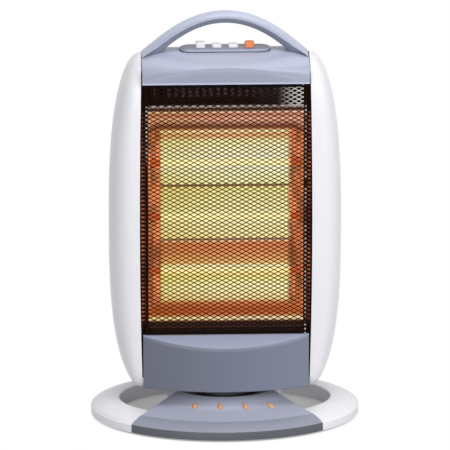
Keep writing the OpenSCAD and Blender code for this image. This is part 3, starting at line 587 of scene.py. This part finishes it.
def turn(start, corner, end, steps=6):
    """Points of a round corner, from start to end."""
    return [mix(mix(start, corner, t), mix(corner, end, t), t) for t in spread(0, 1, steps)]


def crossing(start, way, other, other_way):
    """Where two lines in a plane meet."""
    return start + way * ((other - start).cross(other_way) / way.cross(other_way))


def soft_least(a, b, blend):
    """The lower of two heights, with a soft passage where they cross."""
    share = min(1, max(0, 0.5 + (b - a) / (2 * blend)))
    return mix(b, a, share) - blend * share * (1 - share)


def new_mesh(points, faces):
    """A mesh from points and from faces that number them."""
    mesh = bpy.data.meshes.new("shape")
    mesh.from_pydata(points, [], faces)
    return mesh


def grid_faces(rows, n, closed=True):
    """Four-sided faces between rows of n points."""
    return [(i * n + j, i * n + (j + 1) % n, (i + 1) * n + (j + 1) % n, (i + 1) * n + j)
            for i in range(rows - 1) for j in range(n if closed else n - 1)]


def skin(rings, closed=True, caps=True):
    """A mesh over equal rings of points. Its ends close between a ring's first half and its second half."""
    n = len(rings[0])
    faces = grid_faces(len(rings), n, closed)
    if caps:
        for start in (0, (len(rings) - 1) * n):
            faces += [(start + i, start + i + 1, start + n - 2 - i, start + n - 1 - i) for i in range(n // 2 - 1)]
            if n % 2:
                faces.append(tuple(start + n // 2 + i for i in (-1, 0, 1)))
    mesh = new_mesh([p for ring in rings for p in ring], faces)
    mesh.validate()
    return mesh


def join_meshes(meshes):
    """One mesh that holds all the others."""
    work = bmesh.new()
    for mesh in meshes:
        work.from_mesh(mesh)
    out = bpy.data.meshes.new("joined")
    work.to_mesh(out)
    work.free()
    return out


def finish_piece(mesh, name, finish, body, nodes=(), crease=32):
    """Turns a mesh into a piece of the heater, riding on its body and standing for its frame nodes."""
    work = bmesh.new()
    work.from_mesh(mesh)
    bmesh.ops.remove_doubles(work, verts=work.verts, dist=0.002 * MM)
    bmesh.ops.recalc_face_normals(work, faces=work.faces)
    work.to_mesh(mesh)
    work.free()
    piece = bpy.data.objects.new(name, mesh)
    bpy.context.collection.objects.link(piece)
    mesh.materials.append(FINISHES[finish])
    mesh.shade_smooth()
    mesh.set_sharp_from_angle(angle=radians(crease))
    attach(piece, body)
    if nodes:
        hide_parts(*nodes)
    return piece


# ---- Base

crest_z = RING[1].z                   # Inner edge of the ring's top
rim_z = crest_z - 9.5 * MM            # Top of its upright rim
COVER_ANGLE = radians(45)             # Half of the angle that the front cover takes on the base's oval
HUB_ANGLE = radians(75)               # The same on the hub's oval
BEVEL_SHARE = 0.5                     # Where the cover's crease lies across the ring, from the rim inwards


def ring_xy(angle, share):
    """The ring's plan at an angle: share is 0 on the outer oval and 1 on the inner one."""
    s = sizes()
    return Vector(((half_w - s.ring_side * share) * cos(angle), (half_d - s.ring_end * share) * sin(angle)))


def ring_z(share):
    """Height of the ring's top, which climbs inwards and levels off."""
    return mix(rim_z, crest_z, 1 - (1 - min(1, share / 0.95)) ** 2.4)


def ring_profile():
    """Share and height round the ring's section."""
    edge = 1.4 * MM
    quarter = spread(0, pi / 2, 5)
    rim = [(0, foot_h), (0, foot_h + 1 * MM)]
    rim += [(0.04 * (1 - cos(a)), rim_z - edge + edge * sin(a)) for a in quarter]
    top = [(t, ring_z(t)) for t in spread(0.07, 0.93, 14)]
    lip = [(0.95 + 0.05 * sin(a), crest_z - 2 * MM * (1 - cos(a))) for a in quarter]
    return rim + top + lip + [(1, crest_z - 3 * MM), (1, foot_h)]


class HEATER_OT_base_ring(bpy.types.Operator):
    """White oval ring of the base, open in front for the grey cover"""
    bl_idname = "heater.base_ring"
    bl_label = "Base ring"

    def execute(self, context):
        start = COVER_ANGLE - pi / 2 + radians(0.3)
        profile = ring_profile()
        rings = [[(*ring_xy(a, s), z) for s, z in profile] for a in spread(start, pi - start, 150)]
        finish_piece(skin(rings), "base_ring_skin", "white", "base", ["base_ring"], 40)
        return {"FINISHED"}


def hub_xy(angle, grow):
    """The point on the hub that the cover reaches at an angle of the base's oval."""
    round_hub = -pi / 2 + (angle + pi / 2) * HUB_ANGLE / COVER_ANGLE
    return Vector(((hub_a + grow) * cos(round_hub), (hub_b + grow) * sin(round_hub)))


def cover_path(angle, inset):
    """The base cover's line from the hub over its crease to the rim at an angle, inset all round."""
    seat, crown = 0.3 * MM, 2 * MM
    hub, inner = hub_xy(angle, seat + inset), ring_xy(angle, 1)
    edge, rim = ring_xy(angle, BEVEL_SHARE), ring_xy(angle, inset / sizes().ring_side)
    hub_z, bevel_z = hub_h - 1 * MM, ring_z(BEVEL_SHARE) + 0.5 * MM
    inner_z = mix(hub_z, bevel_z, 0.72)
    line = [(*mix(hub, inner, t), mix(hub_z, inner_z, t) - inset) for t in spread(0, 1, 8)]
    line += [(*mix(inner, edge, t), mix(inner_z, bevel_z, t) - inset) for t in (0.2, 0.4, 0.6, 0.8, 0.93, 1)]
    for t in (0.06, 0.2, 0.36, 0.52, 0.68, 0.84, 1):
        bulge = crown * (1 - (2 * t - 1) ** 2)
        line.append((*mix(edge, rim, t * 0.985), mix(bevel_z, rim_z, t) + bulge * 0.6 - inset))
    return line + [(*rim, rim_z - 0.9 * MM - inset), (*rim, foot_h)]


# Finish of each strip of the cover, from the hub outwards: 0 its own, then those of the next table in turn: a painted
# highlight on the crease, painted shade on the bevel, and painted shade on the rim
COVER_STRIPS = [0] * 13 + [1] * 2 + [2] * 6 + [3] * 2
COVER_TRIM = ("worn_edge", "bevel_grey", "rim_grey")


class HEATER_OT_base_cover(bpy.types.Operator):
    """Grey cover on the front of the base, climbing to the hub, with a painted highlight on its crease and painted
    shade on its bevel and its rim
    """
    bl_idname = "heater.base_cover"
    bl_label = "Base cover"

    def execute(self, context):
        first, whole, step = -pi / 2 - COVER_ANGLE, 2 * COVER_ANGLE, radians(1)
        angles = [0, step] + spread(2 * step, whole - 2 * step, 60) + [whole - step, whole]
        rings = []
        for i, a in enumerate(angles):
            outer, inner = cover_path(first + a, 0), cover_path(first + a, sizes().wall)
            if i < 2 or i > len(angles) - 3:
                inner = [(x, y, foot_h) for x, y, z in inner]       # Walls that close the cover's two ends
            rings.append(outer + inner[::-1])
        mesh = skin(rings)
        count = len(rings[0])
        for face in mesh.polygons[:(len(rings) - 1) * count]:
            place = face.index % count
            face.material_index = COVER_STRIPS[place] if place < len(COVER_STRIPS) else 0
        cover = finish_piece(mesh, "base_cover_skin", "base_grey", "base", ["front_cover"], 25)
        for finish in COVER_TRIM:
            cover.data.materials.append(FINISHES[finish])
        return {"FINISHED"}


def leaf(centre, lean, under):
    """A domed leaf that leans to one side, laid on the surface under it."""
    reach, bulge, dome, around = 8.8 * MM, 3.7 * MM, 1.3 * MM, 32
    shares = (1.0, 0.97, 0.85, 0.65, 0.42, 0.18)
    points = []
    for share in shares:
        for u in spread(0, 2 * pi, around)[:-1]:
            far = reach * cos(u) * share
            wide = copysign(bulge * share * (1 - cos(u) ** 2) ** 0.8, sin(u))
            p = centre + Vector((wide * cos(lean) - far * sin(lean), wide * sin(lean) + far * cos(lean)))
            hit = under.ray_cast(Vector((*p, hub_h * 2)), Vector((0, 0, -1)))[0]
            if hit is None:
                raise RuntimeError("A flame mark lies beside the base cover")
            points.append((*p, hit.z + (-1 * MM if share == 1 else dome * (1 - share ** 2))))
    last = len(points) - around
    ends = [tuple(range(around)), tuple(range(last, last + around))]
    return new_mesh(points, grid_faces(len(shares), around) + ends)


class HEATER_OT_flame_marks(bpy.types.Operator):
    """Four domed leaf inlays on the base cover, each leaning a little more than the last"""
    bl_idname = "heater.flame_marks"
    bl_label = "Flame marks"

    def execute(self, context):
        cover = bpy.data.objects["base_cover_skin"].data
        under = BVHTree.FromPolygons([v.co for v in cover.vertices], [tuple(p.vertices) for p in cover.polygons])
        shift, pitch, row, sag = 8 * MM, 32.5 * MM, -66 * MM, 2.5 * MM
        leaves = [leaf(Vector((shift + pitch * place, row + sag * place ** 2)), radians(11 + 10 * place), under)
                  for place in (-1.5, -0.5, 0.5, 1.5)]
        finish_piece(join_meshes(leaves), "flame_inlays", "flame", "base", ["flame_marks"], 60)
        return {"FINISHED"}


# ---- Side panels

panel_low, panel_high = body_z - 7 * MM, body_top - 4 * MM
panel_mid = mix(panel_low, panel_high, 0.47)      # Where the panels are widest
PANEL_GAP = 3.8 * MM                              # Between the covers and the inside of a panel, there
PANEL_END = radians(88.2)                         # How far up and down its arc a panel's last levels lie


def to_tip(z):
    """0 where a panel is widest and nearly 1 at its tips."""
    reach = panel_high - panel_mid if z > panel_mid else panel_mid - panel_low
    return min(0.9995, abs(z - panel_mid) / reach)


def inner_edge(z):
    """How far from the middle of the body a panel's inner edge lies."""
    return half + PANEL_GAP - 3 * MM * to_tip(z) ** 2


def outer_edge(z):
    """The same for its outer face: full in the middle and drawn in to the tips."""
    return mix(inner_edge(z), PANEL[1].x, sqrt(1 - to_tip(z) ** 2.65))


def panel_reach(z, middle):
    """How far a side panel's front or rear edge lies from the swing axis, from its reach at the middle."""
    tip = to_tip(z)
    return (middle - 4 * MM * tip ** 2) * sqrt(1 - tip ** (12 if z > panel_mid else 30))


def panel_ring(z, count):
    """One level of a side panel: out along the outer face and back along the inner one."""
    x0, front, rear = inner_edge(z), panel_reach(z, grille_y + 2 * MM), panel_reach(z, rear_y - 2 * MM)
    reach, wall = outer_edge(z) - x0, sizes().wall

    def face(t):
        points = []
        for a in spread(-pi / 2, pi / 2, count):
            deep = front if a < 0 else rear
            points.append((x0 + (reach - t) * power(cos(a), 0.75),
                           power(sin(a), 0.75) * (deep - (min(wall, deep / 2) if t else 0)), z))
        return points
    return face(0) + face(min(wall, reach * 0.6))[::-1]


class HEATER_OT_side_panels(bpy.types.Operator):
    """White bowed panels on both sides of the body"""
    bl_idname = "heater.side_panels"
    bl_label = "Side panels"

    def execute(self, context):
        rings = []
        for a in spread(-PANEL_END, PANEL_END, 96):
            reach = panel_high - panel_mid if a > 0 else panel_mid - panel_low
            rings.append(panel_ring(panel_mid + sin(a) * reach, 44))
        for side, sign in (("right", 1), ("left", -1)):
            mirrored = [[(x * sign, y, z) for x, y, z in r] for r in rings]
            finish_piece(skin(mirrored), "side_panel_%s_skin" % side, "white", "heater",
                         ["side_panel_" + side], 40)
        return {"FINISHED"}


# ---- Covers

def bow(x, inset=0.0):
    """How far the covers' front lies ahead of the swing axis at x."""
    return crown_y - front_r + sqrt((front_r - inset) ** 2 - x * x)


def cover_top(x, y=0.0):
    """Height of the top cover at x: level in the middle and falling to its ends, most at its rear corners."""
    end = max(0, 1 - (half - abs(x)) / (36 * MM))
    rear = min(1, max(0, y / (18 * MM)))
    return body_top - 7 * MM * end ** 2 - 7 * MM * rear * rear * (3 - 2 * rear) * end ** 4


def top_section(x, inset=0.0):
    """The top cover's line at x, from the grille round the bow to its rear foot, as (y, z)."""
    lip, seat_front, seat_back, slope = 1.1 * MM, 47 * MM, 12 * MM, 1.12
    rise = mix(8 * MM, 22 * MM, (x / half) ** 2)
    front, high = bow(x) - inset, body_top - inset
    start = min(grille_y + lip, front) - inset * 0.5
    foot = Vector((-start, window_top + lip + start - grille_y + inset * 1.6))
    # The bow's slope meets the roof a little above the roof's front edge
    meet = foot.y + slope * (front - start) + 1.8 * MM
    first = asin(min(0.95, max(0.0, (meet - (high - rise)) / rise)))
    roof = [Vector((-front + seat_front * (1 - cos(a)), high - rise * (1 - sin(a))))
            for a in spread(first, pi / 2, 24)]
    corner = crossing(foot, Vector((-1, slope)),
                      roof[0], Vector((seat_front * sin(first), rise * cos(first))))
    soft = min(0.45, 12 * MM / max(1 * MM, (corner - foot).length))
    line = [foot] + [mix(foot, corner, t) for t in spread(0.06, 1 - soft - 0.05, 5)]
    line += turn(mix(corner, foot, soft), corner, roof[0]) + roof[1:]
    line += [Vector((mix(roof[-1].x, seat_back, t), high)) for t in spread(0.2, 1, 4)]
    line += [Vector((mix(seat_back, rear_y - inset, t), high - 13 * MM * t ** 1.4)) for t in spread(0.1, 1, 9)]
    for p in line:
        if p.y > window_top + 15 * MM:
            p.y = soft_least(p.y, cover_top(x, p.x) - inset, 1.5 * MM)
    return [Vector((-start, window_top))] + line + [Vector((rear_y - inset, window_top))]


def low_section(x, inset=0.0):
    """The lower panel's line at x, from the grille over the ledge and down the bow, as (y, z)."""
    front, back, flat = bow(x) - inset, -LOW[1].y + inset, grille_y - 2 * MM
    slope = 11.5 * MM / (crown_y - grille_y)
    top = window_z - inset * 1.2
    corner, shelf = Vector((-front, top - slope * (front - flat))), Vector((-flat, top))
    soft = min(0.4, 5 * MM / max(1 * MM, (corner - shelf).length))
    line = [Vector((-back, body_z)), Vector((-back, top))]
    line += [mix(shelf, corner, t) for t in spread(0, 1 - soft - 0.05, 6)]
    line += turn(mix(corner, shelf, soft), corner, corner - Vector((0, 4 * MM)))
    line += [Vector((-front, mix(corner.y - 5 * MM, body_z + 1.2 * MM, t))) for t in spread(0, 1, 5)]
    return line + [Vector((-front + 1.0 * MM, body_z + 0.2 * MM)), Vector((-front + 1.4 * MM, body_z))]


def bowed_cover(section, name, finish, node, trim, edge):
    """A cover made of sections across the body, each with its outer and its inner line. Its first faces, as many as
    edge says, have the second finish it is given: a painted highlight on the top cover's lip, and painted shade on
    the lower panel's faces behind the grille."""
    wall = sizes().wall
    outer, inner = [], []
    for x in (half * sin(a) for a in spread(-pi / 2, pi / 2, 80)):
        outer.append([(x, y, z) for y, z in section(x)])
        inner.append([(x * (half - wall) / half, y, z) for y, z in section(x, wall)])
    mesh = skin([a + b[::-1] for a, b in zip(outer, inner)], caps=False)
    for face in mesh.polygons:
        face.material_index = int(face.index % (2 * len(outer[0])) < edge)
    ends = [skin([outer[i], inner[i]], closed=False, caps=False) for i in (0, -1)]
    cover = finish_piece(join_meshes([mesh] + ends), name, finish, "heater", [node], 36)
    cover.data.materials.append(FINISHES[trim])


class HEATER_OT_top_cover(bpy.types.Operator):
    """Bowed grey cover over the grille"""
    bl_idname = "heater.top_cover"
    bl_label = "Top cover"

    def execute(self, context):
        # The lip takes a painted highlight, and the faces that look up or down take painted light from the finish
        bowed_cover(top_section, "top_cover_skin", "grey", "top_cover", "trim", 1)
        return {"FINISHED"}


class HEATER_OT_lower_panel(bpy.types.Operator):
    """Dark bowed panel under the grille, with its crescent ledge"""
    bl_idname = "heater.lower_panel"
    bl_label = "Lower panel"

    def execute(self, context):
        # The faces behind the grille are black: painted shade
        bowed_cover(low_section, "lower_panel_skin", "dark_grey", "lower_panel", "black", 2)
        return {"FINISHED"}


# ---- Handle and controls

foot_z = body_top - 5 * MM            # Where the handle's outer curve ends
grip_t, grip_w = 13.8 * MM, 161 * MM  # Thickness of the grip at its middle, and width of the opening under it


def grip_section(crease):
    """The grip's section as (share of half depth, share of height): round above, with flat facets below."""
    above = [(power(cos(a), 0.95), crease + (1 - crease) * sin(a) ** 0.95) for a in spread(0, pi, 28)]
    down = [(mix(-1, -0.62, t), mix(crease, 0.03, t)) for t in (0.3, 0.65, 0.93)] + [(-0.52, 0.0), (-0.2, 0.0)]
    return above + down + [(-x, h) for x, h in down[::-1]], len(above)


class HEATER_OT_carry_handle(bpy.types.Operator):
    """Arched grip over the top cover, with painted light on its back and painted shade on the facets below"""
    bl_idname = "heater.carry_handle"
    bl_label = "Carry handle"

    def execute(self, context):
        reach, sunk, grip_low = half - 6 * MM, 1.5 * MM, handle_top - grip_t
        rings = []
        for t in spread(-1, 1, 110):
            outer, inner = half * t, reach * t
            top = Vector((outer, handle_top - (handle_top - foot_z) * t * t))
            low = Vector((inner, grip_low - (grip_low - body_top) * (2 * inner / grip_w) ** 2))
            low.y = max(low.y, cover_top(inner) - sunk)
            deep = (13 + 5 * t * t) * MM
            section, upper = grip_section(0.52 + 0.26 * t ** 4)
            ring = []
            for across, height in section:
                p = mix(low, top, height)
                ring.append((p.x, deep * across, max(p.y, cover_top(p.x, deep * across) - sunk)))
            rings.append(ring)
        mesh = skin(rings)
        for face in mesh.polygons[:(len(rings) - 1) * len(section)]:
            # The facets below take the painted shade
            face.material_index = int(face.index % len(section) >= upper - 1)
        grip = finish_piece(mesh, "carry_handle_skin", "grip", "heater", ["carry_handle"], 28)
        grip.data.materials.append(FINISHES["underside"])
        return {"FINISHED"}


def pill(width, depth, radius):
    """Points round a rounded rectangle."""
    points = []
    for k, (sx, sy) in enumerate(((1, 1), (-1, 1), (-1, -1), (1, -1))):
        for a in spread(pi / 2 * k, pi / 2 * (k + 1), 8):
            points.append((sx * (width / 2 - radius) + radius * cos(a),
                           sy * (depth / 2 - radius) + radius * sin(a)))
    return points


def rounded_block(centre, width, depth, low, high, radius, edge, crown=0.0):
    """A block with round corners, soft top edges and a slightly crowned top."""
    rings = [[(centre.x + x, centre.y + y, low) for x, y in pill(width, depth, radius)]]
    for a in spread(0, pi / 2, 5):
        inset = edge * (1 - cos(a))
        rings.append([(centre.x + x, centre.y + y, high - crown - edge + edge * sin(a)) for x, y in
                      pill(width - 2 * inset, depth - 2 * inset, max(radius - inset, 0.2 * MM))])
    for t in (0.7, 0.35, 0.1):
        rings.append([(centre.x + x * t, centre.y + y * t, high - crown * t * t) for x, y in
                      pill(width - 2 * edge, depth - 2 * edge, max(radius - edge, 0.2 * MM))])
    n, last = len(rings[0]), len(rings) - 1
    ends = [tuple(start * n + i for i in range(n)) for start in (0, last)]
    return new_mesh([p for r in rings for p in r], grid_faces(len(rings), n) + ends)


class HEATER_OT_controls(bpy.types.Operator):
    """Control plate, with painted shade on its top, painted light on its edge and a black ring round its foot that
    paints the shadow line there, and its four push keys
    """
    bl_idname = "heater.controls"
    bl_label = "Controls"

    def execute(self, context):
        low, high = PLATE
        size, mid, foot, seal = high - low, (low + high) / 2, body_top - 1 * MM, 0.7 * MM
        corner = size.y / 2 - 0.1 * MM
        plate = finish_piece(rounded_block(mid, size.x, size.y, foot, high.z, corner, 1.2 * MM),
                             "control_plate_skin", "plate_edge", "heater", ["control_plate"], 35)
        plate.data.materials.append(FINISHES["plate"])
        # The plate's top takes the painted shade, and its rounded edge the painted light
        for face in plate.data.polygons:
            face.material_index = int(face.center.z > high.z - 0.3 * MM)
        # A black ring round the plate's foot paints the shadow line there
        joint = rounded_block(mid, size.x + 2 * seal, size.y + 2 * seal, foot, body_top + 0.45 * MM, corner + seal,
                              0.2 * MM)
        finish_piece(joint, "control_plate_seal", "black", "heater")
        for name, (low, high) in KEYS.items():
            tint = "orange" if name == "swing" else "white"
            size = high - low
            cap = rounded_block((low + high) / 2, size.x, size.y, low.z, high.z, 2.8 * MM, 2.0 * MM, 0.7 * MM)
            finish_piece(cap, "key_%s_cap" % name, tint, "key_" + name, ["key_" + name], 35)
        return {"FINISHED"}


# ---- Grille

def grille_path():
    """The grille sheet's plan, from its left edge to its right one: flat, with both sides bent back."""
    bend, edge, back = MESH[1].x, GRILLE[1].x - 0.8 * MM, -GRILLE[1].y
    return [Vector((-edge, -back)), Vector((-bend, -grille_y)), Vector((bend, -grille_y)), Vector((edge, -back))]


def path_length(path):
    """Length of a line through points."""
    return sum((b - a).length for a, b in zip(path, path[1:]))


def along(path, distance):
    """The point at a distance along a path, and the way out of the sheet there."""
    for a, b in zip(path, path[1:]):
        run = (b - a).length
        if distance <= run or b is path[-1]:
            way = (b - a).normalized()
            return a.lerp(b, distance / run), Vector((way.y, -way.x))
        distance -= run


def mesh_strands(path):
    """Zigzag strands of the expanded sheet, row over row, that meet at their knuckles."""
    s = sizes()
    long, low, high = path_length(path), window_z + 1 * MM, window_top - 1 * MM
    rows, columns = round((high - low) / (s.mesh_h / 2)), round(long / (s.mesh_w / 2))
    row_h, step = (high - low) / rows, long / columns
    thick, tilt, knuckle = 0.55 * MM, 0.4 * MM, 0.09
    for r in range(rows):
        rings = []
        for c in range(columns + 1):
            side = 1 if (c + r) % 2 else -1
            z = low + row_h * (r + 0.5) + side * (row_h / 2 - s.strand * 0.18)
            for shift in (-knuckle, knuckle):
                p, out = along(path, min(max(c + shift, 0), columns) * step)
                ring = []
                for up, deep in ((-0.5, 0), (0.5, 0), (0.5, 1), (-0.5, 1)):
                    q = p - out * (thick * deep + tilt * (up + 0.5))
                    ring.append((q.x, q.y, z + up * s.strand * 0.9))
                rings.append(ring)
        yield skin(rings)


def stay(x):
    """A black upright strip behind a bend of the mesh: it stands for the bend's denser row of knuckles, paints the
    shade along it and carries the mesh's painted glints.
    """
    wide, thick, play = 1.7 * MM, 0.7 * MM, 0.4 * MM
    section = [(x + wide * cos(a), thick * sin(a) - grille_y + thick)
               for a in spread(0, 2 * pi, 16)[:-1]]
    return skin([[(*p, z) for p in section] for z in spread(GRILLE[0].z + play, GRILLE[1].z - play, 40)], caps=False)


def hem(path, low, high):
    """The folded sheet along the grille's foot or top."""
    thick, radius = 1.3 * MM, 0.5 * MM
    slight = radius * 0.3
    section = [(0, low + radius), (0, high - radius), (slight, high - slight), (thick / 2, high),
               (thick - slight, high - slight), (thick, high - radius), (thick, low + radius),
               (thick - slight, low + slight), (thick / 2, low), (slight, low + slight)]
    rings = []
    for distance in spread(0, path_length(path), 60):
        p, out = along(path, distance)
        rings.append([(*(p - out * t), z) for t, z in section])
    return skin(rings)


class HEATER_OT_grille(bpy.types.Operator):
    """Expanded mesh in front of the tubes, with the hems that hold it, and black strips behind its bends that paint
    the shade there
    """
    bl_idname = "heater.grille"
    bl_label = "Grille"

    def execute(self, context):
        path = grille_path()
        foot, top = GRILLE[0].z + 0.2 * MM, GRILLE[1].z - 0.2 * MM
        # Black strips behind the bends, which paint the shade along them
        finish_piece(join_meshes([stay(-BEND_X), stay(BEND_X)]), "grille_stays", "mesh", "heater",
                     crease=40)
        for name, low, high in (("low", foot, foot + 4.2 * MM), ("high", top - 3.8 * MM, top)):
            finish_piece(hem(path, low, high), "grille_hem_" + name, "hem", "heater", crease=40)
        finish_piece(join_meshes(mesh_strands(path)), "grille_strands", "mesh", "heater",
                     ["grille_mesh", "grille_frame"], 50)
        return {"FINISHED"}


# ---- Heating

class HEATER_OT_reflector_lip(bpy.types.Operator):
    """Folded strip that closes the reflector's top edge to the baffle"""
    bl_idname = "heater.reflector_lip"
    bl_label = "Reflector lip"

    def execute(self, context):
        top, sheet, tall = REFLECT[1].z + 0.1 * MM, 0.8 * MM, 2.6 * MM
        back, front, reach = BAFFLE[0].y - 0.2 * MM, REFLECT[0].y, REFLECT[1].x - 0.5 * MM
        middle, hook, toe = mix(back, front, 0.5), front - 0.9 * MM, top - 0.8 * MM
        under = [(back, top), (middle, top), (front + 0.5 * MM, top), (front - 0.5 * MM, top),
                 (hook, top - 0.4 * MM), (hook, toe)]
        over = [(hook - sheet, toe), (hook - sheet, top + tall), (hook, top + tall), (front - 0.5 * MM, top + sheet),
                (middle, top + sheet), (back, top + sheet)]
        rings = [[(x, y, z) for y, z in under + over] for x in spread(-reach, reach, 24)]
        finish_piece(skin(rings), "reflector_lip", "lip", "heater", crease=30)
        return {"FINISHED"}


# The frame's own pieces by finish. All others are zinc-plated steel
FRAME_PIECES = {
    "black": ("hub_drum", "turntable", "floor_pan", "cord_gland", "switch_bank", "thermal_cutout", "wiring_loom",
              "tip_plunger"),
    "white": ("rear_bridge", "rear_cover"),
    "cream": ("terminal_block", "tip_switch"),
    "rubber": ("rubber_feet",),
    "lit_rail": ("rail_left", "rail_right"),
    "steel_black": ("lower_shelf",),
    "baffle": ("upper_baffle",),
    "glow": ("reflector",),
    "quartz": ("tube_upper", "tube_middle", "tube_lower"),
    "wire": ("filaments",),
    "ceramic": ("tube_caps",),
    "bracket": ("tube_brackets",),
}


class HEATER_OT_frame_finishes(bpy.types.Operator):
    """Finishes of the frame's own pieces, from the tubes and the reflector to the feet"""
    bl_idname = "heater.frame_finishes"
    bl_label = "Frame finishes"

    def execute(self, context):
        finish_of = {name: finish for finish, names in FRAME_PIECES.items() for name in names}
        for name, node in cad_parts.items():
            for slot in node.material_slots:
                slot.material = FINISHES[finish_of.get(name, "zinc")]
        return {"FINISHED"}


# ---- Stage

# Place, watts and width of each lamp
LAMPS = {
    "window": ((1.9, -1.9, 1.5), 33, 1.6),
    "front": ((-0.8, -3.3, 0.9), 34, 2.0),
    "top": ((0.1, -0.8, 2.7), 27, 1.4),
}


def stand(name, data, place, target):
    """Puts the camera or a lamp in its place, facing the target."""
    thing = bpy.data.objects.new(name, data)
    bpy.context.collection.objects.link(thing)
    thing.location = place
    thing.rotation_mode = "QUATERNION"
    thing.rotation_quaternion = (target - Vector(place)).to_track_quat("-Z", "Y")
    return thing


class HEATER_OT_stage(bpy.types.Operator):
    """Pale floor, soft light and the camera"""
    bl_idname = "heater.stage"
    bl_label = "Stage"

    def execute(self, context):
        scene, st = context.scene, context.scene.heater_stage
        middle = Vector((0, 0, 270 * MM))
        a, e = st.azimuth, st.elevation
        back = Vector((sin(a) * cos(e), -cos(a) * cos(e), sin(e)))
        lens = bpy.data.cameras.new("portrait")
        lens.sensor_width = 36
        lens.lens = lens.sensor_width * st.distance / (PICTURE * st.scale)
        lens.shift_x = (PICTURE / 2 - st.middle_x) / PICTURE
        lens.shift_y = (st.middle_y - PICTURE / 2) / PICTURE
        lens.clip_start, lens.clip_end = 0.05, 50
        scene.camera = stand("portrait", lens, middle + back * st.distance, middle)

        far = 12
        floor = new_mesh([(-far, -far, 0), (far, -far, 0), (far, far, 0), (-far, far, 0)], [(0, 1, 2, 3)])
        floor.materials.append(pale_floor())
        ground = bpy.data.objects.new("floor", floor)
        context.collection.objects.link(ground)

        n = Nodes("studio", "worlds")
        soft, white = (n.add("ShaderNodeBackground", inputs={"Color": (1, 1, 1), "Strength": strength})
                       for strength in (0.36, 1.0))
        scene.world = n.end(n.add("ShaderNodeMixShader", inputs={0: n.backdrop_ray(), 1: soft, 2: white}), "World")
        for name, (place, watts, size) in LAMPS.items():
            lamp = bpy.data.lights.new(name, "AREA")
            lamp.energy, lamp.size = watts, size
            stand(name, lamp, place, middle)
        scene.view_settings.view_transform = "Standard"
        return {"FINISHED"}


# ---- Add-on

OPERATORS = (HEATER_OT_base_ring, HEATER_OT_base_cover, HEATER_OT_flame_marks, HEATER_OT_side_panels,
             HEATER_OT_top_cover, HEATER_OT_lower_panel, HEATER_OT_carry_handle, HEATER_OT_controls, HEATER_OT_grille,
             HEATER_OT_reflector_lip, HEATER_OT_frame_finishes, HEATER_OT_stage)
GROUPS = {"heater_sizes": HeaterSizes, "heater_colours": HeaterColours, "heater_stage": HeaterStage}


class HEATER_PT_pieces(bpy.types.Panel):
    """Lists the heater's settings and its pieces"""
    bl_label = "Halogen heater"
    bl_idname = "HEATER_PT_pieces"
    bl_space_type = "VIEW_3D"
    bl_region_type = "UI"
    bl_category = "Heater"

    def draw(self, context):
        for name, group in GROUPS.items():
            for key in group.__annotations__:
                self.layout.prop(getattr(context.scene, name), key)
        for operator in OPERATORS:
            self.layout.operator(operator.bl_idname)


def register():
    for cls in (*GROUPS.values(), *OPERATORS, HEATER_PT_pieces):
        bpy.utils.register_class(cls)
    for name, group in GROUPS.items():
        setattr(bpy.types.Scene, name, bpy.props.PointerProperty(type=group))


def unregister():
    for name in GROUPS:
        delattr(bpy.types.Scene, name)
    for cls in (HEATER_PT_pieces, *OPERATORS, *GROUPS.values()):
        bpy.utils.unregister_class(cls)


def main():
    register()
    make_finishes()
    for operator in OPERATORS:
        getattr(bpy.ops.heater, operator.bl_idname.split(".")[1])()


if __name__ == "__main__":
    main()
